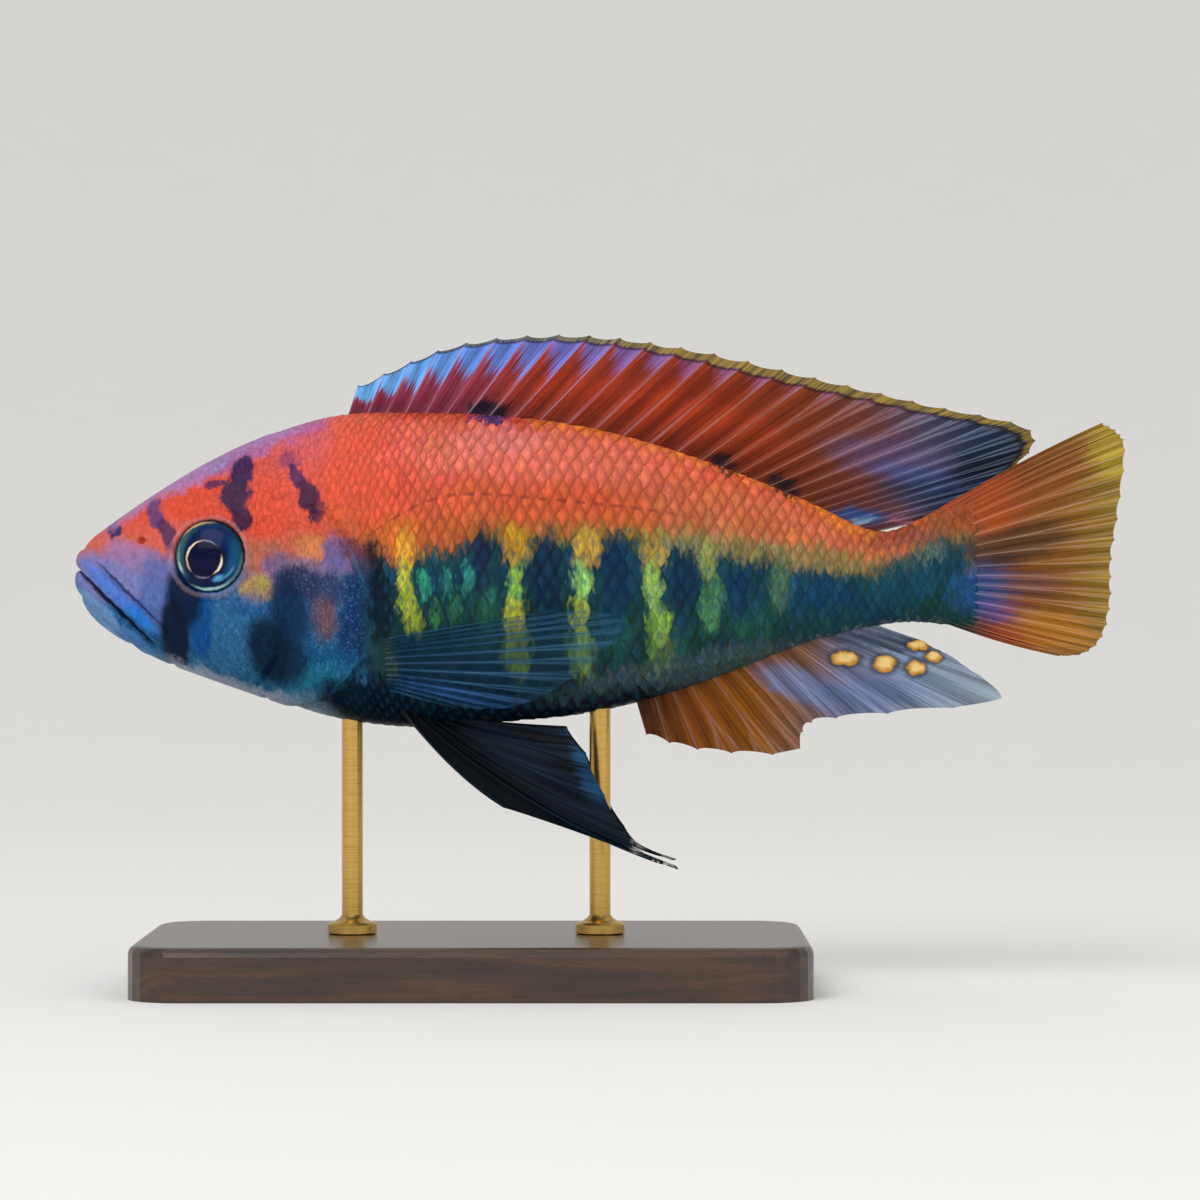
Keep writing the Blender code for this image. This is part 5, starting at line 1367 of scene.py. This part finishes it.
# The anal fin: a low keel of skin on three spines and twelve soft rays under the tail. It is
# orange-brown in front and blue-grey behind, with the male's cream egg spots ringed in dark.
ANAL_RAYS = (
    # root along the fish, and the tip: along the fish, height
    (64.1, 65.3, -18.3),
    (67.2, 69.6, -19.7),
    (70.5, 75.5, -20.4),
    (74.5, 82.3, -20.3),
    (76.5, 83.4, -17.6),
    (79.0, 86.0, -16.5),
    (83.0, 95.0, -15.6),
    (86.5, 105.6, -14.2),
    (89.0, 101.7, -10.4),
    (91.0, 97.0, -7.6),
)
ANAL_COUNT = 15
ANAL_SOFT = 2.5
ANAL_TUCK = 0.6
ANAL_STOPS = (
    (62, "241410"), (65, "48280E"), (70, "784010"), (78, "885010"), (84, "7A5848"), (88, "6C7090"),
    (96, "7C8CA6"), (106, "8C9CA8"),
)
ANAL_MARKS = (
    ("6C7CA6", 82.5, -12.4, 4.6, 1.8, -20, 0.9, 0.8),
    ("5A6E9C", 90, -13.6, 6.5, 1.8, 4, 0.9, 0.6),
    ("2C3A48", 92, -7.6, 6.0, 1.0, -6, 0.8, 0.7),
    ("221414", 63.6, -16.4, 0.9, 2.6, -20, 0.6, 0.85),
)
EGG_SPOTS = (
    # along the fish, height, half length, half height
    (88.0, -9.5, 1.5, 0.85), (92.4, -10.1, 1.25, 0.95), (96.0, -10.6, 1.0, 0.85), (96.2, -8.0, 1.2, 0.6),
    (98.0, -9.3, 0.9, 0.6),
)
EGG_LAYERS = (
    # colour, its length and height by the spot's own, lift, softness, strength
    ("1C2630", 1.3, 1.35, 0.0, 0.6, 0.8),
    ("C08A34", 1.0, 1.0, 0.0, 0.35, 1.0),
    ("EACB84", 0.7, 0.65, 0.1, 0.8, 0.9),
)
anal_web, tree, surface, colour, rays = fin_skin("anal_web", ANAL_STOPS, ANAL_MARKS, (5.0, -3.0))
colour = draw_rays(tree, colour, rays, "98949C", 0.22, ANAL_SOFT)
place = object_place(tree)
ripple = add(tree, "TexNoise", None, {"Vector": place, "Scale": 1.1, "Detail": 2.0}, out=1)
place = waver(tree, place, ripple, (0.9, 0, 0.9))
eggs = [
    (code, s, z + lift, half_s * long, half_z * tall, 0, soft, strength)
    for code, long, tall, lift, soft, strength in EGG_LAYERS
    for s, z, half_s, half_z in EGG_SPOTS
]
colour = paint_marks(tree, colour, place, eggs)
tree.links.new(colour, surface["Base Color"])
rows, ray = ray_spread(ANAL_RAYS, even_rays(ANAL_RAYS, ANAL_COUNT), 16)
s = rows[:, 0]
roots = np.column_stack((s, -swing(s), profile(s)[1] + FIN_SINK))
tips = np.column_stack((rows[:, 1], -ANAL_TUCK * swing(rows[:, 1]), rows[:, 2]))
make_fin("anal_web", fin_sheet(roots, tips, ray), ray, ANAL_SOFT, 0.25, anal_web, "anal_fin")

# The pectoral fins: a clear fan of thirteen soft rays behind each gill cover, on a fleshy root. Light
# passes between the rays, so the flank's bars show through the web.
PECTORAL_RAYS = (
    # root along the fish and its height, and the tip: along the fish, to the side, height
    (35.2, -7.3, 54.8, 11.2, -4.0),
    (35.3, -8.0, 61.2, 11.2, -4.4),
    (35.4, -8.8, 62.4, 11.0, -6.2),
    (35.6, -10.0, 59.5, 10.8, -9.6),
    (35.8, -11.2, 54.5, 10.2, -13.2),
    (36.0, -12.1, 49.5, 9.6, -15.0),
    (36.2, -12.9, 43.4, 8.4, -15.0),
)
PECTORAL_COUNT = 13
PECTORAL_FLARE = 4
PECTORAL_SINK = 0.6
PECTORAL_STOPS = ((34, "1A4660"), (38, "0E3A5C"), (48, "0C3658"), (56, "12425E"), (63, "1E566E"))
PECTORAL_MARKS = (
    ("7C8458", 36.2, -9.6, 0.8, 2.4, 10, 1.0, 0.4),
    ("2E5EB0", 46, -13.9, 8, 0.8, -12, 0.9, 0.6),
)
made = fin_skin("pectoral_web", PECTORAL_STOPS, PECTORAL_MARKS, (5.0, -1.0))
pectoral_web, tree, surface, colour, rays = made
colour = draw_rays(tree, colour, rays, "5A90B8", 0.5, 0.5)
tree.links.new(colour, surface["Base Color"])
u, v, near, fibre = rays
solid = add(tree, "MapRange", "SMOOTHSTEP", (near, 0.3, 0.05, 0.22, 0.6))
thin = add(tree, "MapRange", None, (v, 0.4, 1.0, 1.0, 0.5))
solid = add(tree, "Math", "MULTIPLY", (solid, thin))
tree.links.new(solid, surface["Alpha"])
rows, ray = ray_spread(PECTORAL_RAYS, even_rays(PECTORAL_RAYS, PECTORAL_COUNT), 14)
s, z = rows[:, 0], rows[:, 1]
for word, side in (("left", -1), ("right", 1)):
    roots = np.column_stack((s, flank(s, z) - PECTORAL_SINK, z))
    grid = fin_sheet(roots, rows[:, 2:5], ray, SMALL_SCALLOP)
    outward = 1 - (1 - v_rows) ** PECTORAL_FLARE
    grid[..., 1] = side * (roots[:, 1] + (rows[:, 3] - roots[:, 1]) * outward)
    name, node = f"pectoral_web_{word}", f"pectoral_fin_{word}"
    make_fin(name, grid, ray, 0.5, 0.2, pectoral_web, node)

# The pelvic fins: a pair of long dark blades under the chest, each a spine and a few soft rays that
# hinge on the belly. The male's are drawn out into pale tips.
PELVIC_RAYS = (
    # root along the fish and to the side, the tip: along, to the side, height, and how far it bows down
    (37.0, 4.0, 49.1, 7.0, -26.2, 1.1),
    (37.8, 3.6, 68.4, 8.0, -33.0, 1.9),
    (38.6, 3.1, 64.4, 7.5, -31.0, 1.2),
    (39.4, 2.6, 61.4, 6.7, -26.6, 0.8),
    (40.1, 2.1, 58.8, 5.6, -21.2, 0.4),
    (40.7, 1.7, 56.2, 4.2, -17.4, 0.1),
)
PELVIC_COUNT = 7
PELVIC_SINK = 0.9
PELVIC_STOPS = ((36, "03070E"), (48, "02060C"), (58, "04101C"), (64, "08141E"), (69, "10161C"))
PELVIC_MARKS = (
    ("1C4C74", 58.8, -21.6, 1.4, 4.6, 20, 0.9, 0.7),
    ("163A5C", 50, -20.0, 5.0, 2.0, -30, 0.9, 0.15),
    ("C8CCC8", 64.6, -31.0, 0.9, 0.5, -10, 0.7, 0.8),
    ("D4D4CC", 67.6, -32.7, 0.8, 0.4, -10, 0.7, 0.8),
)


def underside(s, y):
    """Height of the belly's surface at s and y."""
    back, belly, width = profile(s)
    part = np.clip(np.abs(y) / width, 0, 1)
    return (back + belly) / 2 - (back - belly) / 2 * (1 - part ** LOWER_POWER) ** (1 / LOWER_POWER)


pelvic_web, tree, surface, colour, rays = fin_skin("pelvic_web", PELVIC_STOPS, PELVIC_MARKS, (5.0, -4.0))
colour = draw_rays(tree, colour, rays, "102A40", 0.35, 0.5)
tree.links.new(colour, surface["Base Color"])
rows, ray = ray_spread(PELVIC_RAYS, even_rays(PELVIC_RAYS, PELVIC_COUNT), 24)
s, y = rows[:, 0], rows[:, 1]
for word, side in (("left", -1), ("right", 1)):
    roots = np.column_stack((s, y, underside(s, y) + PELVIC_SINK))
    grid = fin_sheet(roots, rows[:, 2:5], ray, SMALL_SCALLOP)
    grid[..., 2] -= rows[:, 5] * 4 * v_rows * (1 - v_rows)
    grid[..., 1] *= side
    make_fin(f"pelvic_web_{word}", grid, ray, 1.5, 0.3, pelvic_web, f"pelvic_fin_{word}")

# The stand: a block of dark-stained walnut, routed round its top edge, with satin varnish.
# Two turned brass rods stand in it and hold the fish by its belly.
# stained walnut: the varnish gives a soft sheen over dark grain with open pores
WALNUT_STOPS = ((0.3, "1E1008"), (0.5, "38200F"), (0.62, "4A2C16"), (0.75, "2A170B"))
walnut, tree, surface = new_material("stained_walnut", {
    "Roughness": 0.35, "IOR": 1.5, "Coat Weight": 0.35, "Coat Roughness": 0.2,
})
place = object_place(tree)
grain = drawn_noise(tree, place, (0.05, 0.6, 0.6), 6.0, distortion=0.6)
colour = add(tree, "ValToRGB", {"stops": WALNUT_STOPS}, (grain,))
pores = drawn_noise(tree, place, (0.5, 6.0, 6.0), 3.0)
dark = add(tree, "MapRange", None, (pores, 0.35, 0.5, 0.6, 1.0))
colour = add(tree, "VectorMath", "SCALE", {0: colour, "Scale": dark})
tree.links.new(colour, surface["Base Color"])
bump = add(tree, "Bump", None, {"Strength": 0.3, "Distance": 0.0001, "Height": pores})
tree.links.new(bump, surface["Normal"])
put_on(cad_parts["stand_base"], walnut)

# brushed brass: fine scratches round the rod draw each light out into a streak
BRASS_STOPS = ((0.3, "B8924A"), (0.6, "CFAA5E"), (0.8, "A88040"))
brass, tree, surface = new_material("brushed_brass", {"Metallic": 1.0, "Roughness": 0.28})
place = object_place(tree)
lines = drawn_noise(tree, place, (0.3, 0.3, 12.0), 3.0)
colour = add(tree, "ValToRGB", {"stops": BRASS_STOPS}, (lines,))
tree.links.new(colour, surface["Base Color"])
rough = add(tree, "MapRange", None, {0: lines, 3: 0.2, 4: 0.42})
tree.links.new(rough, surface["Roughness"])
ROD_PLACES = (("stand_rod_front", 31.7), ("stand_rod_rear", 60.0))
ROD_RADIUS = 1.2
ROD_SIDES = 48
ROD_LATHE = (
    # radius, height above the base
    (2.5, 0.0), (2.8, 0.15), (2.8, 1.1), (2.55, 1.35), (2.3, 1.4), (2.0, 1.5), (1.5, 1.8), (1.2, 2.2),
)
BASE_TOP = 6.0
ROD_SINK = 1.5
for node, s in ROD_PLACES:
    top = float(profile(s)[1]) + AXIS_HEIGHT - BASE_TOP + ROD_SINK
    bpy.ops.object.select_all(action="DESELECT")
    centre = ((s - MID_LENGTH) * MM, 0, BASE_TOP * MM)
    foot = ROD_LATHE[0][0] * MM
    bpy.ops.mesh.primitive_circle_add(vertices=ROD_SIDES, radius=foot, fill_type="NGON", location=centre)
    rod = bpy.context.object
    rod.name = rod.data.name = node.replace("stand_rod", "stand_turned_rod")
    bpy.ops.object.transform_apply(location=True, rotation=False, scale=False)
    bpy.ops.object.mode_set(mode="EDIT")
    bpy.ops.mesh.select_all(action="SELECT")
    for (radius, height), (wide, high) in zip(ROD_LATHE, (*ROD_LATHE[1:], (ROD_RADIUS, top))):
        bpy.ops.mesh.extrude_region_move(TRANSFORM_OT_translate={"value": (0, 0, (high - height) * MM)})
        bpy.ops.transform.resize(value=(wide / radius, wide / radius, 1), center_override=(centre[0], 0, 0))
    face_outward()
    bpy.ops.object.shade_smooth_by_angle(angle=math.radians(30))
    put_on(rod, brass)
    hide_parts(node)
    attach(rod, "root")
